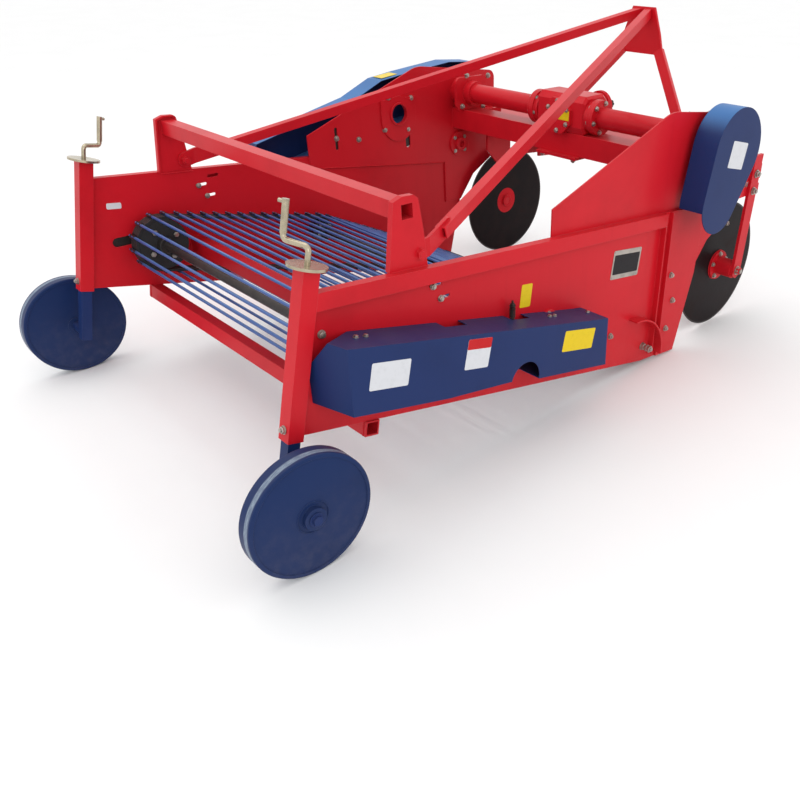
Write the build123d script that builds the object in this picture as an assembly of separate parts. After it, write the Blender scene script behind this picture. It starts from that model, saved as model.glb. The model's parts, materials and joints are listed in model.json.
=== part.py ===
"""Mounted potato digger: a rod web between two side plates, driven from a gearbox at the hitch.

Axes: X across the machine (+X is its right side), Y forward to the tractor, Z up from the ground.
Sizes are millimetres.  "Station" is a distance forward of the wheel axles; save() moves every piece
so that the origin lies on the ground in the middle of the machine's length.
"""
from build123d import *
from math import acos, atan2, cos, degrees, hypot, pi, radians, sin, tan
import os

# ---- overall ------------------------------------------------------------------------------------
half_width = 750.0           # outer face of each side plate
plate_t = 6.0                # side and upper plates
wheel_r = 196.0
wheel_w = 58.0
wheel_gap = 86.0             # from the side plate to the wheel
wheel_x = half_width + wheel_gap + wheel_w / 2   # middle of each drum wheel
length = 2792.0              # rear of the wheels to the front of the disc coulters
origin_station = length / 2 - wheel_r

# ---- rear posts, legs and screws ----------------------------------------------------------------
post_lean = 14.1             # the tops lean forward
post_size = 50.0
post_wall = 5.0
post_foot = 175.0            # from the wheel axle up the post's line to its lower end
post_head = 667.0
leg_gap = 0.7                # on each side, between leg and post
leg_below = 28.0             # leg below the axle
leg_above = 430.0
axle_r = 12.5
axle_fit = 0.05              # radial, wheel on axle
spacer_r = 19.0
hub_r = 35.0
hub_proud = 14.0
screw_plate_r = 55.0
screw_plate_t = 8.0
crank_r = 8.0
crank_rise = 46.0
crank_throw = 84.0
crank_grip = 104.0
grip_r = 9.5

# ---- side plates: (station, height) --------------------------------------------------------------
rail_rear = (150.0, 778.0)
rail_front = (2035.0, 633.0)
belly_rear = (45.0, 371.0)
belly_kink = (1700.0, 26.0)
belly_front = (1926.0, 5.0)
nose = (2016.0, 345.0)       # on the front edge, between belly_front and rail_front
rail_h = 50.0
rail_d = 25.0                # stands out from the plate
rail_fit = 0.03              # between the rail's rear end and the post
upper_rear = (1110.0, 797.0)
upper_peak = (1749.0, 1027.0)
upper_front = (2262.0, 964.0)
upper_chin = (2262.0, 545.0)
upper_throat = (2110.0, 462.0)
upper_low = ((1909.0, 345.0), (1909.0, 552.0), (1110.0, 654.0))   # inner lap over the side plate
peak_round = 160.0
plate_slots = ((590.0, 678.0), (620.0, 630.0), (646.0, 706.0))
plate_slot_l = 50.0
plate_slot_h = 12.0
upper_out = half_width - plate_t   # the upper plates lap the side plates on the inside
upper_in = upper_out - plate_t
bearing_bore = (1622.0, 828.0, 44.0)         # left plate's upper bearing: station, height, radius
bearing_plate_r = 102.0
lower_bearing = (2008.0, 634.0, 60.0)
adjust_slots = (((1262.0, 763.0), 100.0, 16.0), ((1675.0, 694.0), 62.0, 28.0))   # middle, length, width
stiff_station = 1745.0
stiff_w = 46.0
strip_rear = 1800.0
strip_t = 10.0

# ---- web ------------------------------------------------------------------------------------------
rod_r = 5.5
rod_gap = 28.0               # from the rods' ends to the side plates
rod_half = half_width - plate_t - rod_gap
rod_pitch = 56.0
belt_w = 55.0
belt_t = 9.0
belt_gap = 0.2               # under the rods, and over the rollers
belt_inset = 82.0            # from the side plate to the middle of an outer belt
belt_x = half_width - plate_t - belt_inset
belt_places = (-belt_x, 0.0, belt_x)
# station, height, radius of the rods' path round each roller, rear to front along the top run
rollers = ((235.0, 520.0, 80.0), (1095.0, 352.0, 66.0), (1752.0, 95.0, 52.0))
shaft_r = 17.5
slot_l = 96.0
slot_h = 2 * shaft_r + 2.0

# ---- frame cross members ---------------------------------------------------------------------------
arch_place = (497.0, 920.0)  # middle of the arch's cross tube
arch_wide = 50.0
arch_tall = 52.0
arch_wall = 5.0
# upright of the arch, up its rear edge, over the top and down its front edge; the foot is on the rail
upright_rear = ((423.0, 757.0), (450.0, 953.0), (482.0, 964.0))
upright_front = ((522.0, 962.0), (538.0, 950.0), (553.0, 854.0), (562.0, 750.0))
upright_t = 8.0
upright_edge = 20.0          # depth of the turned edge
brace_pin = (537.0, 788.0)
brace_bolt_r = 10.0
brace_top = (28.0, 1265.0)   # X and height where the brace meets the mast's head
brace_bend = 42.0            # in front of the bolt the strap turns in towards the mast
brace_size = 36.0
strap_t = 10.0
strap_h = 56.0
strap_reach = 150.0          # from the bolt to the middle of the strap's round end
fit_gap = 0.3                # between faces that are bolted face to face
mid_member = (525.0, 446.0, 56.0)  # station, height, size
low_bar = (318.0, 50.0)            # station, size
drive_axis = (2025.0, 890.0)       # gearbox output and half shafts
tube_r = 44.0
flange_r = 74.0
end_plate = (204.0, 150.0, 12.0)   # along, high and thick, the flange of each half shaft's bearing
bearing_deep = 84.0                # from the upper plate to the inner face of that flange
bearing_r = 66.0
beam_h = 95.0
beam_w = 110.0
beam_top = 814.0
front_beam = (2216.0, 745.0, 80.0)
box_half = 178.0                   # gearbox half width, flange to flange
case_half = 140.0                  # gear case half width

# ---- hitch -----------------------------------------------------------------------------------------
pin_r = 14.35                      # category 2 lower link pin
pin_half_span = 412.0              # shoulder of each lower pin
pin_reach = 118.0
pin_place = (2440.0, 640.0)
top_bore_r = 12.9
top_place = (2550.0, 1190.0)
bracket_top = 785.0                # flat top of the hitch brackets, which the mast stands on
bracket_front = 2432.0
mast_station = 2512.0              # rear face of the mast's head plate
mast_low = (128.0, 1094.0)         # half width and height of the head plate's corners, from below
mast_mid = (104.0, 1180.0)
mast_high = (62.0, 1290.0)
mast_gap = 52.0                    # between the two top link ears
mast_t = 12.0
mast_foot = (366.0, 2396.0)        # X and station
mast_knee = (104.0, 1112.0)        # X and height where each leg meets the head plate

# ---- disc coulters -----------------------------------------------------------------------------------
disc_r = 284.0
disc_t = 6.0
disc_inset = 59.0            # from the side plates' outer faces in to the blades
disc_x = half_width - disc_inset
disc_height = 286.0
disc_place = (length - wheel_r - disc_r, disc_height)
arm_x = half_width + 42.0
arm_t = 14.0
arm_w = 60.0
clamp_lap = 54.0             # of the clamp block behind the upper plate's front edge
clamp_past = 92.0            # of the clamp block in front of the discs' axis

# ---- covers: (station, height) outlines ---------------------------------------------------------------
cover_wall = 3.0
cover_gap = 0.3              # between the left cover and the rail
cover_deep = 132.0           # of the covers, outwards from the side plates
cover_out = half_width + cover_deep
cover_outline = ((100.0, 667.0), (1235.0, 406.0), (1281.0, 397.0), (1287.0, 207.0), (928.0, 282.0),
                 (782.0, 322.0), (521.0, 365.0), (330.0, 407.0), (100.0, 459.0))
cover_rear_out = 172.0                # station of its rear end, at the outer face and at the plate
cover_rear_in = 126.0
cover_trim = ((72.0, 152.0, 655.0), (0.0, 126.0, 566.0), (0.0, 262.0, 630.0))   # off the plate first
cover_bite = (855.0, 300.0, 68.0)     # half-round cut in the long cover's lower edge
cover_notches = ((583.0, 674.0), (874.0, 960.0))
notch_deep = 45.0
front_cover_top = (2015.0, 872.0, 158.0)
front_cover_low = (1937.0, 682.0, 120.0)
front_cover_posts = ((2050.0, 960.0), (2000.0, 740.0))
cover_mouth = 664.0                   # the front cover's rim stops at this height


def line_z(a, b, station):
    """Height at a station on the straight line through two (station, height) points."""
    return a[1] + (b[1] - a[1]) * (station - a[0]) / (b[0] - a[0])


def rail_z(station):
    return line_z(rail_rear, rail_front, station)


def belly_z(station):
    if station < belly_kink[0]:
        return line_z(belly_rear, belly_kink, station)
    return line_z(belly_kink, belly_front, station)


def side_face(outline, x):
    """A closed face at X = x from an outline in (station, height)."""
    return Plane.YZ.offset(x) * make_face(Polyline(*outline, close=True))


def slab(outline, x0, x1):
    return extrude(side_face(outline, x0), amount=x1 - x0)


def bar(p, q, radius):
    """A round bar from point p to point q."""
    p, q = Vector(*p), Vector(*q)
    return Solid.make_cylinder(radius, (q - p).length, Plane(p, z_dir=q - p))


def tube(p, q, across, along_x, wall=0.0):
    """A straight square tube from p to q; along_x is the size of the side that lies nearest to X."""
    p, q = Vector(*p), Vector(*q)
    run = q - p
    side = Vector(1, 0, 0)
    if abs(run.normalized().dot(side)) > 0.9:
        side = Vector(0, 1, 0)
    side = side - run.normalized() * side.dot(run.normalized())
    plane = Plane(p, x_dir=side, z_dir=run)
    section = Rectangle(along_x, across)
    if wall:
        section -= Rectangle(along_x - 2 * wall, across - 2 * wall)
    return extrude(plane * section, amount=run.length)


def disc(station, height, radius, x0, x1):
    return bar((x0, station, height), (x1, station, height), radius)


def flipped(solid):
    return mirror(solid, about=Plane.YZ)


def save(name, *solids):
    moved = [s.moved(Location((0, -origin_station, 0))) for part in solids for s in part.solids()]
    body = moved[0] if len(moved) == 1 else Compound(moved)
    body.label = name
    export_step(body, f"parts/{name}.step")


# ---- rear posts, legs, wheels ----------------------------------------------------------------------
lean = radians(post_lean)


def on_post(rise, x=half_width):
    """The point at a rise up the post's centre line from the wheel axle."""
    return (x, rise * sin(lean), wheel_r + rise * cos(lean))


def post():
    return tube(on_post(post_foot), on_post(post_head), post_size, post_size, post_wall)


def leg():
    size = post_size - 2 * post_wall - 2 * leg_gap
    shank = tube(on_post(-leg_below), on_post(leg_above), size, size, 4)
    spacer = disc(0, wheel_r, spacer_r, half_width, wheel_x - wheel_w / 2 - 0.3)
    axle = disc(0, wheel_r, axle_r, half_width, wheel_x + wheel_w / 2 + hub_proud + 4)
    hub_end = wheel_x + wheel_w / 2 + hub_proud
    washer = disc(0, wheel_r, 22, hub_end + 0.3, hub_end + 4)
    nut_plane = Plane((wheel_x + wheel_w / 2 + hub_proud + 4, 0, wheel_r), z_dir=(1, 0, 0))
    nut = extrude(nut_plane * RegularPolygon(16, 6), amount=9)
    return shank + spacer + axle + washer + nut


def wheel():
    """A closed steel drum: rolled tread with rounded lips, two flat discs and a hub tube."""
    x0, x1 = wheel_x - wheel_w / 2, wheel_x + wheel_w / 2
    drum = disc(0, wheel_r, wheel_r, x0, x1)
    drum = fillet(drum.edges().filter_by(GeomType.CIRCLE), 5)
    for a, b in ((x0, x0 + 3), (x1 - 3, x1)):
        drum -= disc(0, wheel_r, wheel_r - 13, a, b)
    drum += disc(0, wheel_r, hub_r, x0, x1 + hub_proud)
    return drum - disc(0, wheel_r, axle_r + axle_fit, x0 - 1, x1 + hub_proud + 1)


def screw_crank(heading):
    """Round head plate on the post, and the bent crank that turns the height screw."""
    top = Vector(*on_post(post_head))
    up = Vector(0, sin(lean), cos(lean))
    throw = (Vector(cos(radians(heading)), sin(radians(heading)), 0)).normalized()
    throw = (throw - up * throw.dot(up)).normalized()
    head = Solid.make_cylinder(screw_plate_r, screw_plate_t, Plane(top, z_dir=up))
    a = top + up * screw_plate_t
    b = a + up * crank_rise
    c = b + throw * crank_throw
    d = c + up * crank_grip
    path = FilletPolyline(a, b, c, d, radius=14)
    rod = sweep(Plane(a, z_dir=up) * Circle(crank_r), path)
    grip = bar(c + up * 16, d, grip_r)
    keeper = bar(d - up * 8, d - up * 8 + throw * 22, 5.5)
    return head + rod + grip + keeper


# ---- side structure ----------------------------------------------------------------------------------
def post_front(height):
    """Station of the post's front face at a height."""
    return (height - wheel_r) * tan(lean) + post_size / 2 / cos(lean)


def rail_start():
    """Station where the rail's top line meets the post's front face."""
    fall = (rail_front[1] - rail_rear[1]) / (rail_front[0] - rail_rear[0])
    return (post_front(rail_rear[1]) - fall * rail_rear[0] * tan(lean)) / (1 - fall * tan(lean))


def side_plate():
    rear_low = (post_front(belly_rear[1]), belly_z(post_front(belly_rear[1])))
    rear_top = (post_front(rail_rear[1]), rail_z(post_front(rail_rear[1])))
    outline = (rear_low, belly_kink, belly_front, nose, rail_front, rear_top)
    plate = slab(outline, half_width - plate_t, half_width)
    slot = Plane.YZ.offset(half_width - plate_t - 1) * (Pos(*rollers[0][:2]) * SlotOverall(slot_l, slot_h))
    plate -= extrude(slot, amount=plate_t + 2)
    for place in plate_slots:
        cut = Pos(*place) * SlotOverall(plate_slot_l, plate_slot_h)
        plate -= extrude(Plane.YZ.offset(half_width - plate_t - 1) * cut, amount=plate_t + 2)
    return plate


def top_rail():
    y0, y1 = rail_start() + rail_fit, stiff_station
    z0, z1 = rail_z(y0), rail_z(y1)
    outline = ((y0 - rail_h * tan(lean), z0 - rail_h), (y1, z1 - rail_h), (y1, z1), (y0, z0))
    rail = slab(outline, half_width, half_width + rail_d)
    inner = ((y0 - 30, z0 - rail_h + 7), (y1 - 5, z1 - rail_h + 5), (y1 - 5, z1 - 5), (y0 - 30, z0 - 3))
    return rail - slab(inner, half_width, half_width + rail_d - 5)


def upper_plate():
    outline = (upper_rear, upper_peak, upper_front, upper_chin, upper_throat, nose, *upper_low)
    plate = slab(outline, upper_in, upper_out)
    for corner, radius in ((upper_peak, peak_round), (upper_front, 40)):
        edge = plate.edges().filter_by(Axis.X).sort_by_distance((upper_out, *corner))[0]
        plate = fillet(edge, radius)
    return plate - disc(*drive_axis, tube_r - 8, upper_in - 1, upper_out + 1)


def left_upper_plate():
    """The left plate also has the upper bearing's bore and two upright slots for chain tensioners."""
    plate = upper_plate() - disc(*bearing_bore, upper_in - 1, upper_out + 1)
    for (y, z), long, wide in adjust_slots:
        cut = Pos(y, z) * Rot(0, 0, 90) * SlotOverall(long, wide)
        plate -= extrude(Plane.YZ.offset(upper_in - 1) * cut, amount=plate_t + 2)
    return flipped(plate)


def bearing_plates():
    """Plates on the inside of the left upper plate that carry the chain drive's two bearings."""
    y, z, bore = bearing_bore
    r = bearing_plate_r
    shape = Pos(y, z - 22) * Circle(r) + Pos(y, z + 24) * Rectangle(2 * r, 92)
    upper = extrude(Plane.YZ.offset(upper_in - 8) * shape, amount=8)
    upper += disc(y, z, bore + 8, upper_in - 15, upper_in)
    upper -= disc(y, z, bore, upper_in - 16, upper_in + 1)
    ly, lz, lr = lower_bearing
    lower = disc(ly, lz, lr, upper_in - 10, upper_in) + disc(ly, lz, 32, upper_in - 26, upper_in)
    lower -= disc(ly, lz, 17, upper_in - 27, upper_in - 12)
    return flipped(upper), flipped(lower)


def front_stiffener():
    """Upright channel and the thick wear strip that is bolted over the plate's front edge."""
    y0 = stiff_station
    y1 = y0 + stiff_w
    outline = ((y0, belly_z(y0) + 30), (y1, belly_z(y1) + 30), (y1, rail_z(y1)), (y0, rail_z(y0)))
    web = slab(outline, half_width, half_width + rail_d)
    inner = ((y0 + 5, belly_z(y0) + 20), (y1 - 5, belly_z(y1) + 20),
             (y1 - 5, rail_z(y1) + 1), (y0 + 5, rail_z(y0) + 1))
    return web - slab(inner, half_width + 5, half_width + rail_d + 1)


def wear_strip():
    y0 = strip_rear
    low_front = (belly_front[0], belly_front[1] + 2)
    outline = ((y0, belly_z(y0) + 2), low_front, nose, rail_front, (y0, rail_z(y0)))
    return slab(outline, half_width, half_width + strip_t)


# ---- cross members -----------------------------------------------------------------------------------
def arch_tube():
    """Cross tube of the arch; its open ends meet the square holes in the uprights."""
    reach = half_width - upright_t
    return tube((-reach, *arch_place), (reach, *arch_place), arch_tall, arch_wide, arch_wall)


def brace_bolt():
    """Bolt through the upright that holds the brace's strap, with its nut and spacer."""
    y, z = brace_pin
    inner = half_width - upright_t - fit_gap - strap_t - fit_gap
    shank = disc(y, z, brace_bolt_r, inner - 22, half_width + 14)
    head = extrude(Plane((half_width, y, z), z_dir=(1, 0, 0)) * RegularPolygon(17, 6), amount=12)
    nut = extrude(Plane((inner - 16, y, z), z_dir=(1, 0, 0)) * RegularPolygon(17, 6), amount=16)
    return shank + head + nut


def arch_upright():
    """Plate upright with its rear and top edges turned in, and the brace's bolt."""
    foot_rear, foot_front = upright_rear[0][0], upright_front[-1][0]
    outline = ((foot_rear, rail_z(foot_rear)), *upright_rear[1:],
               *upright_front[:-1], (foot_front, rail_z(foot_front)))
    upright = slab(outline, half_width - upright_edge, half_width)
    y0, y1 = foot_rear + plate_t, foot_front + plate_t
    top = upright_rear[2][1] - plate_t
    crown = (upright_rear[1][0] + plate_t, upright_rear[1][1] - plate_t)
    inner = ((y0, rail_z(y0) - 5), crown, (upright_rear[2][0], top), (upright_front[0][0], top - 2),
             (y1, top - 12), (y1, rail_z(y1) - 5))
    upright -= slab(inner, half_width - upright_edge - 1, half_width - upright_t)
    hole = Pos(*arch_place) * Rectangle(arch_wide - 2 * arch_wall, arch_tall - 2 * arch_wall)
    upright -= extrude(Plane.YZ.offset(half_width - upright_t - 1) * hole, amount=upright_t + 2)
    return upright + brace_bolt()


def cross_tube(station, height, size, wall, reach):
    return tube((-reach, station, height), (reach, station, height), size, size, wall)


def lower_bar():
    station, size = low_bar
    slope = atan2(belly_kink[1] - belly_rear[1], belly_kink[0] - belly_rear[0])
    y = station + size / 2 * sin(slope)
    z = belly_z(station) - size / 2 * cos(slope)
    plane = Plane((-half_width - 6, y, z), x_dir=(0, cos(slope), sin(slope)), z_dir=(1, 0, 0))
    section = Rectangle(size, size) - Rectangle(size - 10, size - 10)
    return extrude(plane * section, amount=2 * half_width + 12)


# ---- drive -------------------------------------------------------------------------------------------
def shaft_tube():
    """Half shaft tube, from its flange on the gearbox to the flanged bearing on the upper plate."""
    y, z = drive_axis
    long, high, thick = end_plate
    face = upper_in - bearing_deep
    body = disc(y, z, tube_r, box_half, upper_in)
    body += disc(y, z, flange_r, box_half, box_half + 14)
    body += disc(y, z, tube_r + 12, face - 40, face) + disc(y, z, bearing_r, face, upper_in)
    plate = Pos(face + thick / 2, y, z) * Box(thick, long, high)
    body += fillet(plate.edges().filter_by(Axis.X), 30)
    return body - disc(y, z, 18, box_half - 1, upper_in + 1)


def gearbox():
    """Cast housing: faceted bevel gear case, round side necks and a long input neck."""
    y, z = drive_axis
    case = [(y - 66, z - 46), (y - 50, beam_top), (y + 60, beam_top), (y + 112, z - 46)]
    case += [(y + 112, z + 44), (y + 70, z + 84), (y - 44, z + 84), (y - 66, z + 58)]
    body = slab(case, -case_half, case_half)
    body = chamfer(body.edges().filter_by(Axis.X, reverse=True), 10)
    for side in (-1, 1):
        body += disc(y, z, 66, side * case_half, side * (box_half - 16))
        body += disc(y, z, flange_r, side * (box_half - 16), side * box_half)
    body += bar((0, y + 110, z), (0, y + 215, z), 58) + bar((0, y + 205, z), (0, y + 225, z), 67)
    cover = Plane((0, y - 66, z - 6), z_dir=(0, -1, 0)) * (Rot(0, 0, 22.5) * RegularPolygon(80, 8))
    return body + extrude(cover, amount=16)


def pto_shaft():
    y, z = drive_axis
    core = bar((0, y + 225, z), (0, y + 300, z), 17.45)
    for k in range(6):
        a = radians(60 * k + 30)
        gx, gz = 19.5 * cos(a), z + 19.5 * sin(a)
        groove = bar((gx, y + 245, gz), (gx, y + 301, gz), 4.5)
        core -= groove
    return core


def beam():
    y = drive_axis[0]
    z = beam_top - beam_h / 2
    return tube((-upper_in, y, z), (upper_in, y, z), beam_h, beam_w, 8)


def beam_gusset():
    """Upright plate that ties the main beam to the front beam."""
    y = drive_axis[0] + beam_w / 2
    z = beam_top
    fy, fz, size = front_beam
    outline = ((y, z), (y, z - beam_h - 110), (fy - size / 2 - 20, 530), (fy + 30, 530))
    outline += ((fy + 30, fz - size / 2), (fy - size / 2, fz - size / 2), (fy - size / 2, z))
    return slab(outline, 594, 606)


# ---- hitch -------------------------------------------------------------------------------------------
def mast_leg():
    """One leg of the mast, splayed out to its foot plate on the hitch bracket, and its top link ear."""
    x, y = mast_foot
    foot = (x, y, bracket_top + mast_t)
    knee = (mast_knee[0], mast_station + mast_t / 2, mast_knee[1])
    ear_rear = mast_station + mast_t
    ty, tz = top_place
    ear = ((ear_rear, tz - 60), (ty, tz - 44), (ty + 38, tz - 18),
           (ty + 38, tz + 18), (ty, tz + 44), (ear_rear, tz + 60))
    plate = slab(ear, mast_gap / 2, mast_gap / 2 + mast_t) - disc(*top_place, top_bore_r, 0, mast_gap)
    shoe = Pos(x, y, bracket_top + mast_t / 2) * Box(112, 72, mast_t)
    return tube(foot, knee, 24, 44) + plate + shoe


def mast():
    """A-shaped mast: two splayed legs, the head plate across them and the top link ears."""
    right = mast_leg()
    corners = [mast_low, mast_mid, mast_high]
    outline = corners + [(-x, z) for x, z in reversed(corners)]
    flat = Plane((0, mast_station, 0), x_dir=(1, 0, 0), z_dir=(0, -1, 0))
    head = flat * make_face(Polyline(*outline, close=True))
    return right + flipped(right) + extrude(head, amount=-mast_t)


def hitch_bracket():
    """Two cheek plates under the front beam and the lower link pin through them."""
    fy, fz, size = front_beam
    py, pz = pin_place
    outline = ((fy - size / 2, fz - size / 2), (fy + size / 2, fz - size / 2), (fy + size / 2, bracket_top),
               (bracket_front, bracket_top), (py + 45, pz + 25), (py + 45, pz - 30), (py - 20, pz - 45),
               (fy - size / 2, fz - 130))
    cheeks = slab(outline, pin_half_span - 12, pin_half_span)
    cheeks += slab(outline, pin_half_span - 92, pin_half_span - 80)
    pin = disc(py, pz, pin_r, pin_half_span - 100, pin_half_span + pin_reach)
    return cheeks + pin


def brace():
    """Square tube from the mast's head to a flat bent strap that is bolted inside the upright."""
    x = half_width - upright_t - fit_gap - strap_t / 2
    y, z = brace_pin
    top = Vector(brace_top[0], mast_station, brace_top[1])
    rise = (top.Z - z) / (top.Y - y)
    bend = Vector(x, y + brace_bend, z + rise * brace_bend)
    along = (top - bend).normalized()
    flat = Vector(along.X, along.Y, 0).normalized()
    reach = y + brace_bend + 3
    side = slab(((y - 60, z - 90), (reach, z - 90), (reach, z + 110), (y - 60, z + 110)),
                x - strap_t / 2, x + strap_t / 2)
    turned = tube(bend, bend + flat * 190, 2 * strap_h + 120, strap_t)
    shape = Pos(y + strap_reach / 2, z + rise * strap_reach / 2) * Rot(0, 0, degrees(atan2(rise, 1)))
    profile = shape * SlotCenterToCenter(strap_reach, strap_h)
    profile = extrude(Plane.YZ.offset(half_width + 50) * profile, amount=-400)
    strap = (side + turned) & profile
    strap -= disc(y, z, brace_bolt_r + fit_gap, x - 30, x + 30)
    run = tube(bend + along * 78, top + along * 60, brace_size, brace_size, 4)
    run = split(run, bisect_by=Plane((0, mast_station, 0), z_dir=(0, -1, 0)), keep=Keep.TOP)
    return strap + run


# ---- digging share -----------------------------------------------------------------------------------
share_tip = (2030.0, 0.0)
share_rear = (1838.0, 104.0)
share_t = 10.0
share_gap = 68.0             # from the blade's ends to the side plates
share_half = half_width - plate_t - share_gap
share_teeth = 5


def share():
    """Plain blade with a row of wide pointed teeth along its front edge."""
    slope = atan2(share_tip[1] - share_rear[1], share_tip[0] - share_rear[0])
    depth = hypot(share_tip[0] - share_rear[0], share_tip[1] - share_rear[1])
    pitch = 2 * share_half / share_teeth
    outline = [(-share_half, 0), (share_half, 0)]
    for k in range(share_teeth):
        x = share_half - k * pitch
        outline += [(x, depth - 62), (x - 0.36 * pitch, depth), (x - 0.64 * pitch, depth)]
    outline.append((-share_half, depth - 62))
    plane = Plane((0, *share_rear), x_dir=(1, 0, 0), z_dir=(0, -sin(slope), cos(slope)))
    return extrude(plane * make_face(Polyline(*outline, close=True)), amount=share_t)


def share_carrier():
    """Angle bar below the blade, end plates bolted to the side plates."""
    slope = atan2(share_tip[1] - share_rear[1], share_tip[0] - share_rear[0])
    plane = Plane((-half_width + plate_t, *share_rear), x_dir=(0, cos(slope), sin(slope)), z_dir=(1, 0, 0))
    section = Pos(50, -6) * Rectangle(90, 12) + Pos(11, -27) * Rectangle(12, 42)
    return extrude(plane * section, amount=2 * (half_width - plate_t))


# ---- web ---------------------------------------------------------------------------------------------
def wrap(shrink):
    """Straight runs and arcs of the loop round the rollers, drawn `shrink` inside the rods' path.

    Each row: the roller, and the angles at which the loop meets and leaves it (clockwise).
    """
    rows = []
    count = len(rollers)
    angle_out = []
    for k in range(count):
        (y0, z0, r0), (y1, z1, r1) = rollers[k], rollers[(k + 1) % count]
        run = hypot(y1 - y0, z1 - z0)
        heading = atan2(z1 - z0, y1 - y0)
        angle_out.append(heading + pi / 2 - atan2(r1 - r0, run) * -1)
    for k in range(count):
        y, z, r = rollers[k]
        start, end = angle_out[k - 1], angle_out[k]
        while start < end:
            start += 2 * pi
        rows.append((y, z, r - shrink, start, end))
    return rows


def loop_face(shrink):
    edges = []
    rows = wrap(shrink)
    for k, (y, z, r, start, end) in enumerate(rows):
        ny, nz, nr, nstart, _ = rows[(k + 1) % len(rows)]
        edges.append(CenterArc((y, z), r, degrees(start), degrees(end - start)))
        a = (y + r * cos(end), z + r * sin(end))
        b = (ny + nr * cos(nstart), nz + nr * sin(nstart))
        edges.append(Line(a, b))
    return make_face(edges)


def rod_places():
    """(station, height) of every rod, evenly spaced round the loop."""
    rows = wrap(0)
    spans = []
    for k, (y, z, r, start, end) in enumerate(rows):
        ny, nz, nr, nstart, _ = rows[(k + 1) % len(rows)]
        spans.append(("arc", r * (start - end), (y, z, r, start)))
        a = (y + r * cos(end), z + r * sin(end))
        b = (ny + nr * cos(nstart), nz + nr * sin(nstart))
        spans.append(("run", hypot(b[0] - a[0], b[1] - a[1]), (a, b)))
    total = sum(s[1] for s in spans)
    count = round(total / rod_pitch)
    for n in range(count):
        s = total * n / count
        for kind, size, data in spans:
            if s <= size:
                break
            s -= size
        if kind == "arc":
            y, z, r, start = data
            yield y + r * cos(start - s / r), z + r * sin(start - s / r)
        else:
            (ay, az), (by, bz) = data
            yield ay + (by - ay) * s / size, az + (bz - az) * s / size


def belts():
    section = loop_face(rod_r + belt_gap) - loop_face(rod_r + belt_gap + belt_t)
    return [extrude(Plane.YZ.offset(x - belt_w / 2) * section, amount=belt_w) for x in belt_places]


def roller_set(k, reach):
    y, z, r = rollers[k]
    rim = r - rod_r - belt_t - 2 * belt_gap
    solid = disc(y, z, shaft_r, -reach, reach)
    for x in belt_places:
        solid += disc(y, z, rim, x - belt_w / 2 + 4, x + belt_w / 2 - 4)
    return solid


# ---- covers ------------------------------------------------------------------------------------------
def case(outline, x0, x1):
    """Sheet cover: closed outer face and rim, open towards the side plate."""
    face = make_face(Polyline(*outline, close=True))
    rim = extrude(Plane.YZ.offset(x0) * face, amount=x1 - x0)
    inner = offset(face, -cover_wall, kind=Kind.INTERSECTION)
    hollow = extrude(Plane.YZ.offset(x0) * inner, amount=x1 - x0 - cover_wall)
    return rim - hollow


def cover_body(inset):
    """The long cover's outer form, or with a wall's thickness as inset the hollow inside it.

    Its rear end slants, so that its inner edge lies further back than its outer edge.
    """
    face = make_face(Polyline(*cover_outline, close=True))
    if inset:
        face = offset(face, -inset, kind=Kind.INTERSECTION)
    body = extrude(Plane.YZ.offset(half_width) * face, amount=cover_out - inset - half_width)
    normal = Vector((cover_rear_out - cover_rear_in) / (cover_out - half_width), -1, 0)
    origin = Vector(half_width, cover_rear_in + inset, 0)
    return split(body, bisect_by=Plane(origin, z_dir=normal), keep=Keep.BOTTOM)


def long_cover():
    """Folded sheet cover; its inner rear corner is trimmed off and its rims are cut to clear fittings."""
    cover = cover_body(0) - cover_body(cover_wall)
    y, z, radius = cover_bite
    cover -= disc(y, z, radius, half_width - 1, cover_out + 1)
    for y0, y1 in cover_notches:
        z0 = line_z(cover_outline[0], cover_outline[1], (y0 + y1) / 2)
        notch = ((y0, z0 - 30), (y1, z0 - 30), (y1, z0 + 30), (y0, z0 + 30))
        cover -= slab(notch, half_width - 1, half_width + notch_deep)
    a, b, c = (Vector(half_width + x, y, z) for x, y, z in cover_trim)
    return split(cover, bisect_by=Plane(a, z_dir=(b - a).cross(c - a)), keep=Keep.TOP)


def tapered_slot(a, b, shrink=0.0):
    """Face of two round ends of different size, each (station, height, radius), joined by tangents."""
    (ay, az, ar), (by, bz, br) = a, b
    ar, br = ar - shrink, br - shrink
    turn = atan2(bz - az, by - ay)
    spread = acos((ar - br) / hypot(by - ay, bz - az))
    ends = [(ay, az, ar, turn + spread), (by, bz, br, turn + spread),
            (by, bz, br, turn - spread), (ay, az, ar, turn - spread)]
    middle = make_face(Polyline(*[(y + r * cos(t), z + r * sin(t)) for y, z, r, t in ends], close=True))
    return middle + Pos(ay, az) * Circle(ar) + Pos(by, bz) * Circle(br)


def front_cover():
    """Cover of the drive to the web, open below its rim; two posts hold it off the upper plate."""
    ends = (front_cover_top, front_cover_low)
    x0 = half_width + rail_d
    outer = extrude(Plane.YZ.offset(x0) * tapered_slot(*ends), amount=cover_out - x0)
    inner = tapered_slot(*ends, cover_wall)
    outer -= extrude(Plane.YZ.offset(x0) * inner, amount=cover_out - x0 - cover_wall)
    y, z, r = front_cover_low
    mouth = ((y - r - 1, cover_mouth), (y + r, cover_mouth), (y + r, z - r - 1), (y - r - 1, z - r - 1))
    outer -= slab(mouth, x0 - 1, cover_out - cover_wall)
    for place in front_cover_posts:
        outer += disc(*place, 9, upper_out, cover_out - 1)
    return outer


def left_cover():
    outline = ((880, 790), (1402, 908), (1564, 976), (1702, 994), (1990, 1022), (2150, 1010),
               (2170, 890), (2080, 800), (1500, 760), (930, 640), (850, 700))
    return flipped(case(outline, half_width + rail_d + cover_gap, cover_out))


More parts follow.
